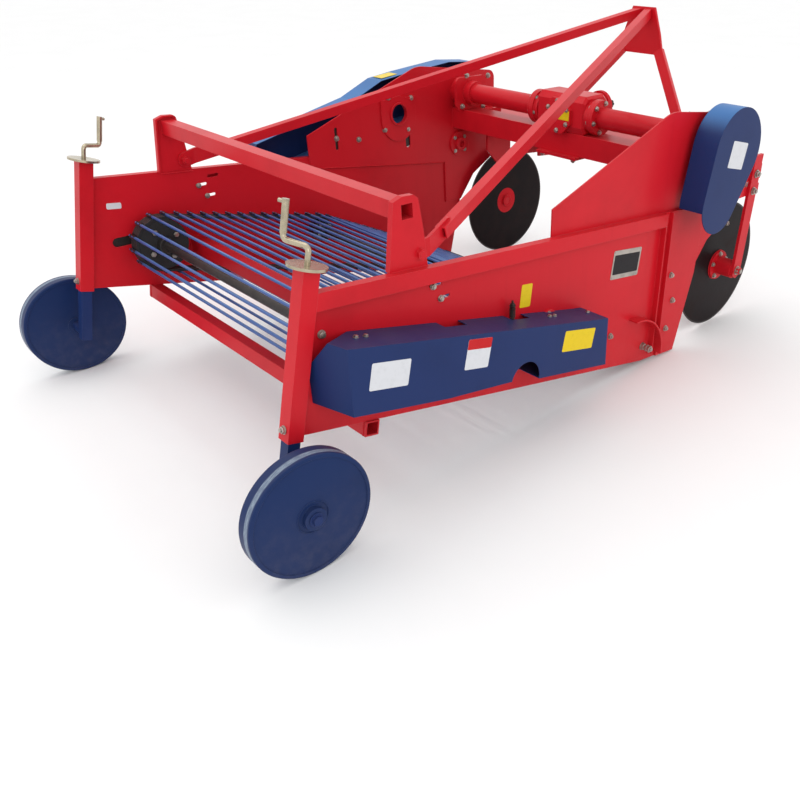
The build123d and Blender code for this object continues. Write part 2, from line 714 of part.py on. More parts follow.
# ---- discs -------------------------------------------------------------------------------------------
def coulter():
    y, z = disc_place
    blade = disc(y, z, disc_r, disc_x - disc_t / 2, disc_x + disc_t / 2)
    blade = chamfer(blade.edges().filter_by(GeomType.CIRCLE), 2.4, 12)
    hub = disc(y, z, 66, disc_x + disc_t / 2, disc_x + 13)
    hub += disc(y, z, 40, disc_x + 13, arm_x - arm_t / 2 - 1)
    plate = disc(y, z, 30, disc_x - 14, disc_x - disc_t / 2)
    bore = disc(y, z, 15 + axle_fit, disc_x - 20, arm_x)
    return blade + hub + plate - bore


def disc_arm():
    y, z = disc_place
    outline = ((y - arm_w / 2, z - 20), (y, z - 38), (y + arm_w / 2, z - 20),
               (y + arm_w / 2 + 34, 790), (y - arm_w / 2 + 34, 790))
    flat = slab(outline, arm_x - arm_t / 2, arm_x + arm_t / 2)
    stub = disc(y, z, 15, disc_x - 13, arm_x + arm_t / 2 + 18)
    return flat + stub


def disc_clamp():
    """Clamp block on the upper plate's front edge, holding the arm."""
    rear, front = upper_front[0] - clamp_lap, disc_place[0] + clamp_past
    deep = arm_x - arm_t / 2 - upper_out
    middle = (upper_out + deep / 2, (rear + front) / 2)
    block = Pos(*middle, 712) * Box(deep, front - rear, 60)
    block += Pos(*middle, 640) * Box(deep, front - rear, 40)
    block += Pos(upper_out + 3, rear + clamp_lap - 20, 676) * Box(6, 68, 132)
    return block


def main():
    os.makedirs("parts", exist_ok=True)
    sides = {
        "side_plate": side_plate, "rear_post": post, "top_rail": top_rail,
        "front_stiffener": front_stiffener, "wear_strip": wear_strip, "arch_upright": arch_upright,
        "shaft_tube": shaft_tube, "beam_gusset": beam_gusset, "hitch_bracket": hitch_bracket,
        "brace": brace, "wheel": wheel, "leg": leg, "disc": coulter,
        "disc_arm": disc_arm, "disc_clamp": disc_clamp,
    }
    for name, make in sides.items():
        solid = make()
        save("right_" + name, solid)
        save("left_" + name, flipped(solid))
    save("right_upper_plate", upper_plate())
    save("left_upper_plate", left_upper_plate())
    save("left_bearing_plates", *bearing_plates())
    save("right_screw_crank", screw_crank(200))
    save("left_screw_crank", flipped(screw_crank(60)))
    save("arch_tube", arch_tube())
    save("middle_cross_member", cross_tube(*mid_member, 5, half_width - plate_t))
    save("lower_crossbar", lower_bar())
    save("main_beam", beam())
    save("front_beam", cross_tube(*front_beam, 8, upper_in))
    save("gearbox", gearbox())
    save("pto_shaft", pto_shaft())
    save("mast", mast())
    save("share", share())
    save("share_carrier", share_carrier())
    save("web_rods", *[disc(y, z, rod_r, -rod_half, rod_half) for y, z in rod_places()])
    save("web_belts", *belts())
    save("rear_web_shaft", roller_set(0, half_width + 20))
    save("middle_web_roller", roller_set(1, half_width - plate_t))
    save("front_web_roller", roller_set(2, half_width - plate_t))
    save("long_cover", long_cover())
    save("front_cover", front_cover())
    save("left_cover", left_cover())


if __name__ == "__main__":
    main()
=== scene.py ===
"""Paint, fasteners, welds and blank plates for a tractor-mounted potato digger.

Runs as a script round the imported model.  X is across the machine (+X is its right side), Y runs
forward to the tractor and Z is up from the ground.  Lengths are metres, and tables are millimetres.
"""

import json
from math import atan2, cos, pi, radians, sin

import bmesh
import bpy
from mathutils import Matrix, Vector
from mathutils.geometry import convex_hull_2d


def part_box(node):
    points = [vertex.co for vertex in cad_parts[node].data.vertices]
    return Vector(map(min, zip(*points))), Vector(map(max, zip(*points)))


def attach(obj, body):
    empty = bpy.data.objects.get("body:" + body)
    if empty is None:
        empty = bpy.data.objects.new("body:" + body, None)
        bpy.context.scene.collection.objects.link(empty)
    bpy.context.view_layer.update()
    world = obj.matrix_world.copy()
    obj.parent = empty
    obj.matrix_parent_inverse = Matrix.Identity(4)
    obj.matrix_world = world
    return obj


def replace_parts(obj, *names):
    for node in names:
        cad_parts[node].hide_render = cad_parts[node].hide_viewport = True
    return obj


bl_info = {
    "name": "Potato Digger Finish",
    "version": (1, 0, 0),
    "blender": (4, 5, 0),
    "location": "View3D > Sidebar > Digger",
    "description": "Paint, fasteners, welds and blank plates for a mounted potato digger",
    "category": "Object",
}

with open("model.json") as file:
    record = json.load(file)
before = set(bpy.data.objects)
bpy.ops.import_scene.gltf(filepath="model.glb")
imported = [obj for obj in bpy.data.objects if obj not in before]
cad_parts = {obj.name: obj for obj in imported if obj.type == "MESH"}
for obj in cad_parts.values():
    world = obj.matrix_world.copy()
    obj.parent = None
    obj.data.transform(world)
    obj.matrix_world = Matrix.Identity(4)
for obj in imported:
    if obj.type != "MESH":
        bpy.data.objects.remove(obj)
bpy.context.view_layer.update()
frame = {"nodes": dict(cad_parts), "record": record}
MM = 0.001
SIDES = (-1, 1)
quarters = ((1, 1), (-1, 1), (-1, -1), (1, -1))       # signs of a rectangle's corners, in order


def right_face(node):
    """X of the outer face of a piece on the right side."""
    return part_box("right_" + node)[1].x


def middle_of(node):
    low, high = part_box(node)
    return (low + high) / 2


def reach_of(node):
    """Radius of a round piece that turns about an axis along X."""
    low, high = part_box(node)
    return (high.z - low.z) / 2


plate_x = right_face("side_plate")
upper_x = right_face("upper_plate")
strip_x = right_face("wear_strip")
cover_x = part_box("long_cover")[1].x
arm_x = right_face("disc_arm") - 18 * MM          # the stub axle ends 18 mm past the arm
plate_in = plate_x - 6 * MM                       # the side plates are 6 mm thick
upper_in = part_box("right_upper_plate")[0].x
disc_axis = middle_of("right_disc")
wheel_axis = middle_of("right_wheel")
gearbox_low, gearbox_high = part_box("gearbox")


# ---- sizes and colours a user would change ----
def colour(label, text, default):
    return bpy.props.FloatVectorProperty(
        name=label, description=text, default=default, subtype="COLOR", size=3, min=0, max=1)


def length(label, text, default):
    return bpy.props.FloatProperty(name=label, description=text, default=default, unit="LENGTH")


def angle(label, text, default):
    return bpy.props.FloatProperty(
        name=label, description=text, default=radians(default), subtype="ANGLE")


class DiggerPaint(bpy.types.PropertyGroup):
    """Colours of the paints, platings and films."""
    red: colour("Red enamel", "Frame, plates and hitch", (0.56, 0.009, 0.018))
    red_deep: colour("Thin red", "Where the red is thin or shaded", (0.40, 0.006, 0.012))
    blue: colour("Blue enamel", "Covers and legs", (0.010, 0.026, 0.110))
    # painted sky reflection: this lighter blue stands for the sky mirrored on the covers' upper faces
    faded_blue: colour("Faded blue", "Upper faces of the raised covers", (0.055, 0.19, 0.46))
    wheel_blue: colour("Wheel blue", "Drum wheels", (0.008, 0.024, 0.095))
    rod_blue: colour("Rod blue", "Rods of the web", (0.018, 0.070, 0.26))
    # the rods' paler blue is rubbed paint and a painted highlight on their upper sides
    rubbed_and_highlight_blue: colour("Rubbed blue", "Rods where the paint is rubbed", (0.15, 0.32, 0.62))
    scuffed: colour("Scuffed ring", "Band on the treads where the paint is scuffed", (0.36, 0.44, 0.52))
    disc: colour("Coulter black", "Disc coulters", (0.010, 0.006, 0.007))
    plating: colour("Yellow zinc", "Cranks and their head plates", (0.46, 0.40, 0.29))
    bright: colour("Bright zinc", "Bolts and pins", (0.44, 0.40, 0.36))
    steel: colour("Oiled steel", "Shafts and rollers", (0.040, 0.034, 0.032))
    rubber: colour("Rubber", "Belts of the web", (0.014, 0.014, 0.016))
    dust: colour("Dust", "Fine dust on upper faces", (0.36, 0.30, 0.26))
    white_film: colour("White film", "Blank white plates", (0.62, 0.63, 0.66))
    yellow_film: colour("Yellow film", "Blank yellow plates", (0.72, 0.52, 0.012))


class DiggerFittings(bpy.types.PropertyGroup):
    """Sizes of the small fittings."""
    bead: length("Weld bead", "Radius of a weld bead", 2.6 * MM)
    ripple: length("Weld ripple", "Length of one ripple of a bead", 5.0 * MM)
    rod_pitch: length("Rod pitch", "From one rod of the web to the next", 56 * MM)
    pad_long: length("Pad length", "Clamp pad of a rod, along the rod", 44 * MM)
    pad_wide: length("Pad width", "Clamp pad of a rod, across the rod", 17 * MM)
    pad_thick: length("Pad thickness", "Clamp pad of a rod", 3.0 * MM)
    rivet: length("Rivet", "Radius of a rivet's head", 5.0 * MM)
    film: length("Film thickness", "Blank films and plates", 0.6 * MM)


class DiggerStage(bpy.types.PropertyGroup):
    """Floor, lights and camera."""
    floor: colour("Floor", "Pale floor", (0.86, 0.86, 0.86))
    floor_half: length("Floor half width", "Half the side of the square floor", 40.0)
    sky: bpy.props.FloatProperty(name="Sky", description="Strength of the even light", default=1.16)
    camera_at: bpy.props.FloatVectorProperty(
        name="Camera place", description="Where the camera stands", unit="LENGTH",
        default=(2.503, -2.055, 1.594))
    heading: angle("Heading", "Camera's turn to the left of straight ahead", 45.0)
    dip: angle("Dip", "How far the camera looks down", 31.98)
    roll: angle("Roll", "Camera's turn about its own axis", 0.7)
    lens: bpy.props.FloatProperty(
        name="Lens", description="Focal length on a 36 mm sensor", default=35.88,
        subtype="DISTANCE_CAMERA")
    shift: bpy.props.FloatVectorProperty(
        name="Shift", description="Sideways and upward shift of the lens", size=2,
        default=(-0.133, 0.0314))


# ---- node helpers ----
def add(tree, kind, inputs=None, **settings):
    """Adds a node; an input given as a socket is linked, and any other value is set."""
    node = tree.nodes.new(kind)
    for name, value in settings.items():
        setattr(node, name, value)
    for key, value in (inputs or {}).items():
        if isinstance(value, bpy.types.NodeSocket):
            tree.links.new(value, node.inputs[key])
        else:
            node.inputs[key].default_value = value
    return node


def maths(tree, operation, a, b=0.0, clamp=False):
    return add(tree, "ShaderNodeMath", {0: a, 1: b}, operation=operation, use_clamp=clamp).outputs[0]


def object_place(tree):
    return add(tree, "ShaderNodeTexCoord").outputs["Object"]


def face_normal(tree):
    return add(tree, "ShaderNodeNewGeometry").outputs["Normal"]


def times(tree, a, b, clamp=False):
    return maths(tree, "MULTIPLY", a, b, clamp)


def plus(tree, a, b, clamp=False):
    return maths(tree, "ADD", a, b, clamp)


def times_plus(tree, a, share, rest):
    return add(tree, "ShaderNodeMath", {0: a, 1: share, 2: rest}, operation="MULTIPLY_ADD").outputs[0]


def ramp(tree, value, low, high):
    """A smooth step from 0 to 1; it falls instead where low is the larger."""
    rise = add(tree, "ShaderNodeMapRange",
               {"Value": value, "From Min": min(low, high), "From Max": max(low, high)},
               interpolation_type="SMOOTHSTEP").outputs[0]
    return rise if low < high else maths(tree, "SUBTRACT", 1.0, rise)


def blend_colours(tree, share, a, b):
    return add(tree, "ShaderNodeMix", {0: share, 6: a, 7: b}, data_type="RGBA").outputs[2]


def noise(tree, place, scale, detail=3.0, roughness=0.55):
    return add(tree, "ShaderNodeTexNoise", {"Vector": place, "Scale": scale, "Detail": detail,
                                            "Roughness": roughness}).outputs["Fac"]


def xyz_of(tree, vector):
    return add(tree, "ShaderNodeSeparateXYZ", {0: vector}).outputs


def distance_from(tree, place, centre):
    """Distance from an axis that runs along X through a centre."""
    xyz = xyz_of(tree, place)
    across = maths(tree, "SUBTRACT", xyz["Y"], centre.y)
    up = maths(tree, "SUBTRACT", xyz["Z"], centre.z)
    return maths(tree, "SQRT", plus(tree, times(tree, across, across), times(tree, up, up)))


def rgba(rgb):
    return (*rgb, 1.0)


def scaled(rgb, share):
    return tuple(share * c for c in rgb)


def new_group(name, inputs, outputs, kind="ShaderNodeTree"):
    """A node group with named sockets; returns the tree, its inputs and its output node."""
    tree = bpy.data.node_groups.new(name, kind)
    for label, socket, default in inputs:
        item = tree.interface.new_socket(label, in_out="INPUT", socket_type=socket)
        if default is not None:
            item.default_value = default
    for label, socket in outputs:
        tree.interface.new_socket(label, in_out="OUTPUT", socket_type=socket)
    source = tree.nodes.new("NodeGroupInput")
    sink = tree.nodes.new("NodeGroupOutput")
    return tree, source.outputs, sink


# ---- shared effects ----
def soft_edges():
    """Normals rounded over sharp edges, and a mask that is 1 along those edges."""
    tree, given, out = new_group(
        "soft_edges", [("Radius", "NodeSocketFloat", 1.2 * MM)],
        [("Normal", "NodeSocketVector"), ("Edge", "NodeSocketFloat")])
    rounded = add(tree, "ShaderNodeBevel", {"Radius": given["Radius"]}, samples=6).outputs[0]
    flat = face_normal(tree)
    agree = add(tree, "ShaderNodeVectorMath", {0: rounded, 1: flat}, operation="DOT_PRODUCT")
    edge = ramp(tree, agree.outputs["Value"], 0.99, 0.86)
    tree.links.new(rounded, out.inputs["Normal"])
    tree.links.new(edge, out.inputs["Edge"])
    return tree


def settled_dust():
    """Mask of fine dust: thin on faces that look up, and splashed near the ground."""
    tree, given, out = new_group(
        "settled_dust",
        [("Amount", "NodeSocketFloat", 0.2), ("Low Dust", "NodeSocketFloat", 0.2)],
        [("Mask", "NodeSocketFloat")])
    place = object_place(tree)
    upward = ramp(tree, xyz_of(tree, face_normal(tree))["Z"], 0.35, 1.0)
    patches = times_plus(tree, ramp(tree, noise(tree, place, 5.0, 6.0, 0.6), 0.3, 0.8), 0.6, 0.2)
    top = times(tree, times(tree, upward, patches), given["Amount"])
    low = times(tree, ramp(tree, xyz_of(tree, place)["Z"], 0.36, 0.0), given["Low Dust"])
    speck = ramp(tree, noise(tree, place, 30.0, 6.0, 0.65), 0.35, 0.85)
    low = times(tree, low, times_plus(tree, speck, 0.7, 0.3))
    tree.links.new(maths(tree, "MAXIMUM", top, low), out.inputs["Mask"])
    return tree


def sprayed_enamel():
    """Sprayed enamel: uneven depth of colour, faint orange peel and slow waves of the sheet."""
    tree, given, out = new_group(
        "sprayed_enamel",
        [("Colour", "NodeSocketColor", (0.5, 0.5, 0.5, 1)),
         ("Thin", "NodeSocketColor", (0.3, 0.3, 0.3, 1)),
         ("Edge", "NodeSocketFloat", 0.0), ("Dust", "NodeSocketFloat", 0.0),
         ("Dust Colour", "NodeSocketColor", (0.4, 0.35, 0.3, 1)), ("Gloss", "NodeSocketFloat", 0.3)],
        [("Colour", "NodeSocketColor"), ("Roughness", "NodeSocketFloat"), ("Height", "NodeSocketFloat")])
    place = object_place(tree)
    cloud = noise(tree, place, 3.2, 5.0, 0.6)
    runs = add(tree, "ShaderNodeMapping", {"Vector": place, "Scale": (22.0, 22.0, 1.6)}).outputs[0]
    streak = ramp(tree, noise(tree, runs, 1.0, 4.0, 0.6), 0.5, 0.8)
    thin = times(tree, ramp(tree, cloud, 0.45, 0.75), 0.5)
    thin = maths(tree, "MAXIMUM", thin, times(tree, streak, 0.22))
    body = blend_colours(tree, thin, given["Colour"], given["Thin"])
    # paler enamel along sharp edges: edge wear and a painted highlight
    worn = add(tree, "ShaderNodeHueSaturation",
               {"Color": given["Colour"], "Saturation": 0.88, "Value": 1.35}).outputs[0]
    edge_wear_and_highlight_patches = times_plus(tree, ramp(tree, noise(tree, place, 60.0, 4.0, 0.7), 0.35, 0.7), 0.6, 0.2)
    body = blend_colours(tree, times(tree, given["Edge"], edge_wear_and_highlight_patches), body, worn)
    body = blend_colours(tree, given["Dust"], body, given["Dust Colour"])
    gloss = times_plus(tree, cloud, 0.12, given["Gloss"])
    gloss = plus(tree, gloss, times(tree, given["Dust"], 0.5), clamp=True)
    peel = times(tree, noise(tree, place, 260.0, 2.0), 0.10)
    waves = times(tree, noise(tree, place, 7.0, 2.0), 1.6)
    tree.links.new(body, out.inputs["Colour"])
    tree.links.new(gloss, out.inputs["Roughness"])
    tree.links.new(plus(tree, peel, waves), out.inputs["Height"])
    return tree


def fine_scratches():
    """Mask of thin rubbed lines running along one axis."""
    tree, given, out = new_group(
        "fine_scratches",
        [("Stretch", "NodeSocketVector", (3.0, 90.0, 90.0)), ("Share", "NodeSocketFloat", 0.5)],
        [("Mask", "NodeSocketFloat")])
    place = object_place(tree)
    pulled = add(tree, "ShaderNodeMapping", {"Vector": place, "Scale": given["Stretch"]}).outputs[0]
    lines = ramp(tree, noise(tree, pulled, 4.0, 5.0, 0.7), 0.42, 0.68)
    tree.links.new(times(tree, lines, given["Share"], clamp=True), out.inputs["Mask"])
    return tree


effects = {}


def effect(tree, name, inputs=None):
    """Places a shared effect in a material."""
    makers = {"soft_edges": soft_edges, "settled_dust": settled_dust,
              "sprayed_enamel": sprayed_enamel, "fine_scratches": fine_scratches}
    if name not in effects:
        effects[name] = makers[name]()
    return add(tree, "ShaderNodeGroup", inputs, node_tree=effects[name]).outputs


# ---- materials ----
def new_material(name, fixed):
    """A material with a Principled shader, and fixed values on the shader's own sockets."""
    material = bpy.data.materials.new(name)
    material.use_nodes = True
    tree = material.node_tree
    shader = tree.nodes["Principled BSDF"]
    for key, value in fixed.items():
        shader.inputs[key].default_value = value
    return material, tree, shader


def bumped(tree, height, distance, normal):
    return add(tree, "ShaderNodeBump",
               {"Height": height, "Distance": distance, "Normal": normal}).outputs[0]


# The makers below build nodes in a material's tree, and return its colour, roughness and normal.
def enamel_skin(tree, paint, tint, thin_tint, gloss, dust, low_dust, radius):
    """The shared enamel with its dust, and paler edges that are edge wear and a painted highlight."""
    edges = effect(tree, "soft_edges", {"Radius": radius})
    dusty = effect(tree, "settled_dust", {"Amount": dust, "Low Dust": low_dust})
    skin = effect(tree, "sprayed_enamel", {
        "Colour": rgba(tint), "Thin": rgba(thin_tint), "Edge": edges["Edge"],
        "Dust": dusty["Mask"], "Dust Colour": rgba(paint.dust), "Gloss": gloss})
    return skin["Colour"], skin["Roughness"], bumped(tree, skin["Height"], 0.4 * MM, edges["Normal"])


def red_enamel(tree, paint):
    return enamel_skin(tree, paint, paint.red, paint.red_deep, 0.30, 0.05, 0.06, 1.4 * MM)


def cover_enamel(tree, paint):
    return enamel_skin(tree, paint, paint.blue, scaled(paint.blue, 0.7), 0.36, 0.10, 0.05, 2.5 * MM)


def faded_enamel(tree, paint):
    """Cover enamel with a painted sky reflection: lighter blue in patches on its upper faces."""
    body, rough, normal = cover_enamel(tree, paint)
    # lighter blue where the face looks up: painted sky reflection
    upward = ramp(tree, xyz_of(tree, face_normal(tree))["Z"], 0.45, 0.95)
    patches = times_plus(tree, noise(tree, object_place(tree), 5.0), 0.5, 0.5)
    return blend_colours(tree, times(tree, upward, patches), body, rgba(paint.faded_blue)), rough, normal


def wheel_enamel(tree, paint):
    """Blue drum with a rubbed pale ring round its tread."""
    inner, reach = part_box("right_wheel")[0].x, reach_of("right_wheel")
    place = object_place(tree)
    side = maths(tree, "ABSOLUTE", xyz_of(tree, place)["X"])
    ring = times(tree, ramp(tree, side, inner + 28 * MM, inner + 32 * MM),
                 ramp(tree, side, inner + 50 * MM, inner + 46 * MM))
    tread = ramp(tree, distance_from(tree, place, wheel_axis), reach - 7 * MM, reach - 3 * MM)
    rubbed = effect(tree, "fine_scratches", {"Stretch": (90.0, 9.0, 9.0), "Share": 1.0})["Mask"]
    worn = times(tree, times(tree, ring, tread), times_plus(tree, rubbed, 0.45, 0.32))
    body, rough, normal = enamel_skin(
        tree, paint, paint.wheel_blue, scaled(paint.wheel_blue, 0.7), 0.34, 0.10, 0.10, 3 * MM)
    return blend_colours(tree, worn, body, rgba(paint.scuffed)), rough, normal


def rod_enamel(tree, paint):
    """Thin blue enamel, paler along the upper side of each rod: rubbed paint and a painted highlight."""
    facing = xyz_of(tree, face_normal(tree))["Z"]
    rubbed = effect(tree, "fine_scratches", {"Stretch": (2.0, 60.0, 60.0), "Share": 1.0})["Mask"]
    # upper side paler: rubbed paint and a painted highlight
    top = times(tree, ramp(tree, facing, 0.45, 0.95), times_plus(tree, rubbed, 0.5, 0.2))
    body, rough, normal = enamel_skin(
        tree, paint, paint.rod_blue, scaled(paint.rod_blue, 0.55), 0.28, 0.08, 0.10, 0.6 * MM)
    return blend_colours(tree, top, body, rgba(paint.rubbed_and_highlight_blue)), rough, normal


def coulter_steel(tree, paint):
    """Oiled dark disc with fine turned rings and a ground edge; its hub is red enamel."""
    reach = reach_of("right_disc")
    brown, bare = rgba((0.024, 0.013, 0.012)), rgba((0.10, 0.09, 0.09))
    place = object_place(tree)
    radius = distance_from(tree, place, disc_axis)
    wobble = times(tree, noise(tree, place, 12.0), 0.006)
    rings = maths(tree, "SINE", times(tree, plus(tree, radius, wobble), 1400.0))
    ground = ramp(tree, radius, reach - 9 * MM, reach - 5 * MM)
    cloud = ramp(tree, noise(tree, place, 6.0, 6.0, 0.7), 0.4, 0.75)
    body = blend_colours(tree, times(tree, cloud, 0.6), rgba(paint.disc), brown)
    body = blend_colours(tree, times(tree, ground, 0.5), body, bare)
    red, _, normal = enamel_skin(tree, paint, paint.red, paint.red_deep, 0.32, 0.1, 0.1, 1.2 * MM)
    hub = ramp(tree, radius, 69 * MM, 67 * MM)
    rings = times(tree, rings, maths(tree, "SUBTRACT", 1.0, hub))
    return (blend_colours(tree, hub, body, red), times_plus(tree, cloud, 0.2, 0.34),
            bumped(tree, rings, 0.05 * MM, normal))


def metal(tree, paint, tint, gloss):
    """Plated or bare steel with a fine grain, cloudy tint and soft edges."""
    place = object_place(tree)
    cloud = noise(tree, place, 26.0, 5.0, 0.65)
    edges = effect(tree, "soft_edges", {"Radius": 0.8 * MM})
    dusty = effect(tree, "settled_dust", {"Amount": 0.1, "Low Dust": 0.1})
    body = blend_colours(tree, ramp(tree, cloud, 0.4, 0.75), rgba(tint), rgba(scaled(tint, 0.62)))
    body = blend_colours(tree, dusty["Mask"], body, rgba(paint.dust))
    normal = bumped(tree, noise(tree, place, 400.0, 2.0), 0.05 * MM, edges["Normal"])
    return body, times_plus(tree, cloud, 0.12, gloss), normal


def belt_rubber(tree, paint):
    """Fabric-faced belting: a fine cross weave pressed into dull rubber."""
    place = object_place(tree)
    weave = [add(tree, "ShaderNodeTexWave", {"Vector": place, "Scale": 260.0, "Distortion": 0.4},
                 bands_direction=axis).outputs["Fac"] for axis in ("X", "Y")]
    cloth = times(tree, weave[0], weave[1])
    dusty = effect(tree, "settled_dust", {"Amount": 0.25, "Low Dust": 0.1})
    pale = rgba((0.040, 0.038, 0.037))
    body = blend_colours(tree, times(tree, noise(tree, place, 18.0), 0.5), rgba(paint.rubber), pale)
    body = blend_colours(tree, dusty["Mask"], body, rgba(paint.dust))
    return body, times_plus(tree, cloth, 0.2, 0.6), bumped(tree, cloth, 0.3 * MM, face_normal(tree))


def film(tree, tint):
    """Printed film: slightly yellowed and cloudy, satin, with rubbed grime."""
    place = object_place(tree)
    grime = ramp(tree, noise(tree, place, 42.0, 6.0, 0.7), 0.45, 0.85)
    body = blend_colours(tree, times(tree, grime, 0.35), rgba(tint), rgba(scaled(tint, 0.6)))
    normal = bumped(tree, noise(tree, place, 90.0, 2.0), 0.1 * MM, face_normal(tree))
    return body, times_plus(tree, grime, 0.25, 0.3), normal


def specular(level):
    return {"Specular IOR Level": level}


# finish: the material's name, its maker, and values set on its shader
finish_table = {
    "red_paint": ("red_enamel", red_enamel,
                  {"Coat Weight": 0.03, "Coat Roughness": 0.1, **specular(0.15)}),
    "blue_paint": ("cover_enamel", cover_enamel, specular(0.16)),
    "wheel_paint": ("wheel_enamel", wheel_enamel, specular(0.13)),
    # painted sky reflection on the upper faces of the left and front covers
    "faded_paint": ("faded_enamel", faded_enamel, specular(0.16)),
    "rod_paint": ("rod_enamel", rod_enamel,
                  {"Coat Weight": 0.10, "Coat Roughness": 0.15, **specular(0.35)}),
    "disc_steel": ("coulter_steel", coulter_steel, specular(0.07)),
    "zinc": ("yellow_zinc", lambda tree, paint: metal(tree, paint, paint.plating, 0.20),
             {"Metallic": 0.95}),
    "bright_zinc": ("bright_zinc", lambda tree, paint: metal(tree, paint, paint.bright, 0.24),
                    {"Metallic": 0.85}),
    "dark_steel": ("oiled_steel", lambda tree, paint: metal(tree, paint, paint.steel, 0.34),
                   {"Metallic": 0.5}),
    "belt_rubber": ("belt_rubber", belt_rubber, specular(0.35)),
    "white_film": ("white_film", lambda tree, paint: film(tree, paint.white_film), specular(0.15)),
    "yellow_film": ("yellow_film", lambda tree, paint: film(tree, paint.yellow_film), specular(0.15)),
    "red_film": ("red_film", lambda tree, paint: film(tree, (0.50, 0.012, 0.014)), specular(0.15)),
    "black_plate": ("black_plate", lambda tree, paint: film(tree, (0.012, 0.010, 0.012)), specular(0.15)),
}
finishes = {}


def finish(name):
    """A finish by name, made once; the record's slots and the extra finishes share the table."""
    if name not in finishes:
        label, maker, fixed = finish_table[name]
        finishes[name], tree, shader = new_material(label, fixed)
        sockets = maker(tree, bpy.context.scene.digger_paint)
        for socket, key in zip(sockets, ("Base Color", "Roughness", "Normal")):
            tree.links.new(socket, shader.inputs[key])
    return finishes[name]


wheels = ("left_wheel", "right_wheel")

# pieces of the imported model whose finish differs from their slot's own; the left and front covers carry
# the painted sky reflection
own_finish = {"left_wheel": "wheel_paint", "right_wheel": "wheel_paint",
              "left_cover": "faded_paint", "front_cover": "faded_paint"}


# ---- making pieces ----
def keep(name, mesh, finish_name, body="frame"):
    """Puts a finished mesh in the scene as a piece that rides on a body."""
    mesh.name = name
    mesh.materials.clear()
    mesh.materials.append(finish(finish_name))
    piece = bpy.data.objects.new(name, mesh)
    bpy.context.scene.collection.objects.link(piece)
    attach(piece, body)
    return piece


def from_bmesh(name, bm, finish_name):
    """Keeps a built mesh as a piece of the frame, with its faces turned outwards."""
    bmesh.ops.recalc_face_normals(bm, faces=bm.faces)
    mesh = bpy.data.meshes.new(name)
    bm.to_mesh(mesh)
    bm.free()
    return keep(name, mesh, finish_name)


def run_tree(name, mesh, tree, finish_name, body="frame", **values):
    """Runs a shape tree on a mesh, and keeps the result as a plain piece."""
    seed = bpy.data.objects.new(name + "_seed", mesh)
    bpy.context.scene.collection.objects.link(seed)
    modifier = seed.modifiers.new("shape", "NODES")
    modifier.node_group = tree
    values["Finish"] = finish(finish_name)
    for item in tree.interface.items_tree:
        if item.in_out == "INPUT" and item.name.replace(" ", "_") in values:
            modifier[item.identifier] = values[item.name.replace(" ", "_")]
    graph = bpy.context.evaluated_depsgraph_get()
    result = bpy.data.meshes.new_from_object(seed.evaluated_get(graph))
    bpy.data.objects.remove(seed)
    return keep(name, result, finish_name, body)


def point_mesh(name, rows):
    """Loose points from rows of (place, direction), with the direction as an attribute."""
    mesh = bpy.data.meshes.new(name)
    mesh.from_pydata([row[0] for row in rows], [], [])
    heading = mesh.attributes.new("heading", "FLOAT_VECTOR", "POINT")
    for k, row in enumerate(rows):
        heading.data[k].vector = row[1]
    return mesh


def line_mesh(name, lines):
    """Open or closed polylines as edges; a line that ends where it begins is closed."""
    points, edges = [], []
    for line in lines:
        first = len(points)
        closed = line[0] == line[-1]
        row = line[:-1] if closed else line
        points += row
        edges += [(first + k, first + k + 1) for k in range(len(row) - 1)]
        if closed:
            edges.append((first + len(row) - 1, first))
    mesh = bpy.data.meshes.new(name)
    mesh.from_pydata(points, edges, [])
    return mesh


def shape_tree(name, inputs):
    """A Geometry Nodes tree with a mesh in, named sizes and a finish; returns it with its sockets."""
    rows = [("Geometry", "NodeSocketGeometry", None), *inputs, ("Finish", "NodeSocketMaterial", None)]
    return new_group(name, rows, [("Geometry", "NodeSocketGeometry")], "GeometryNodeTree")


def finish_tree(tree, given, out, geometry, smooth=False):
    """Ends a tree: instances become plain mesh, with the finish set; returns the tree."""
    plain = add(tree, "GeometryNodeRealizeInstances", {0: geometry}).outputs[0]
    shaded = add(tree, "GeometryNodeSetShadeSmooth", {"Geometry": plain, "Shade Smooth": smooth})
    coated = add(tree, "GeometryNodeSetMaterial",
                 {"Geometry": shaded.outputs[0], "Material": given["Finish"]})
    tree.links.new(coated.outputs[0], out.inputs["Geometry"])
    return tree


def joined(tree, *parts):
    join = add(tree, "GeometryNodeJoinGeometry")
    for part in parts:
        tree.links.new(part, join.inputs[0])
    return join.outputs[0]


def vector_of(tree, **parts):
    return add(tree, "ShaderNodeCombineXYZ", parts).outputs[0]


def moved(tree, geometry, shift, scale=(1, 1, 1)):
    return add(tree, "GeometryNodeTransform",
               {"Geometry": geometry, "Translation": shift, "Scale": scale}).outputs[0]


def lifted(tree, geometry, height):
    """Moves a shape up its own axis by a height socket."""
    return moved(tree, geometry, vector_of(tree, Z=height))


def round_bar(tree, sides, radius, depth, top=None):
    """A prism or cone standing on its base."""
    if top is None:
        body = add(tree, "GeometryNodeMeshCylinder",
                   {"Vertices": sides, "Radius": radius, "Depth": depth})
        return lifted(tree, body.outputs["Mesh"], times(tree, depth, 0.5))
    cone = add(tree, "GeometryNodeMeshCone",
               {"Vertices": sides, "Radius Top": top, "Radius Bottom": radius, "Depth": depth})
    return cone.outputs["Mesh"]


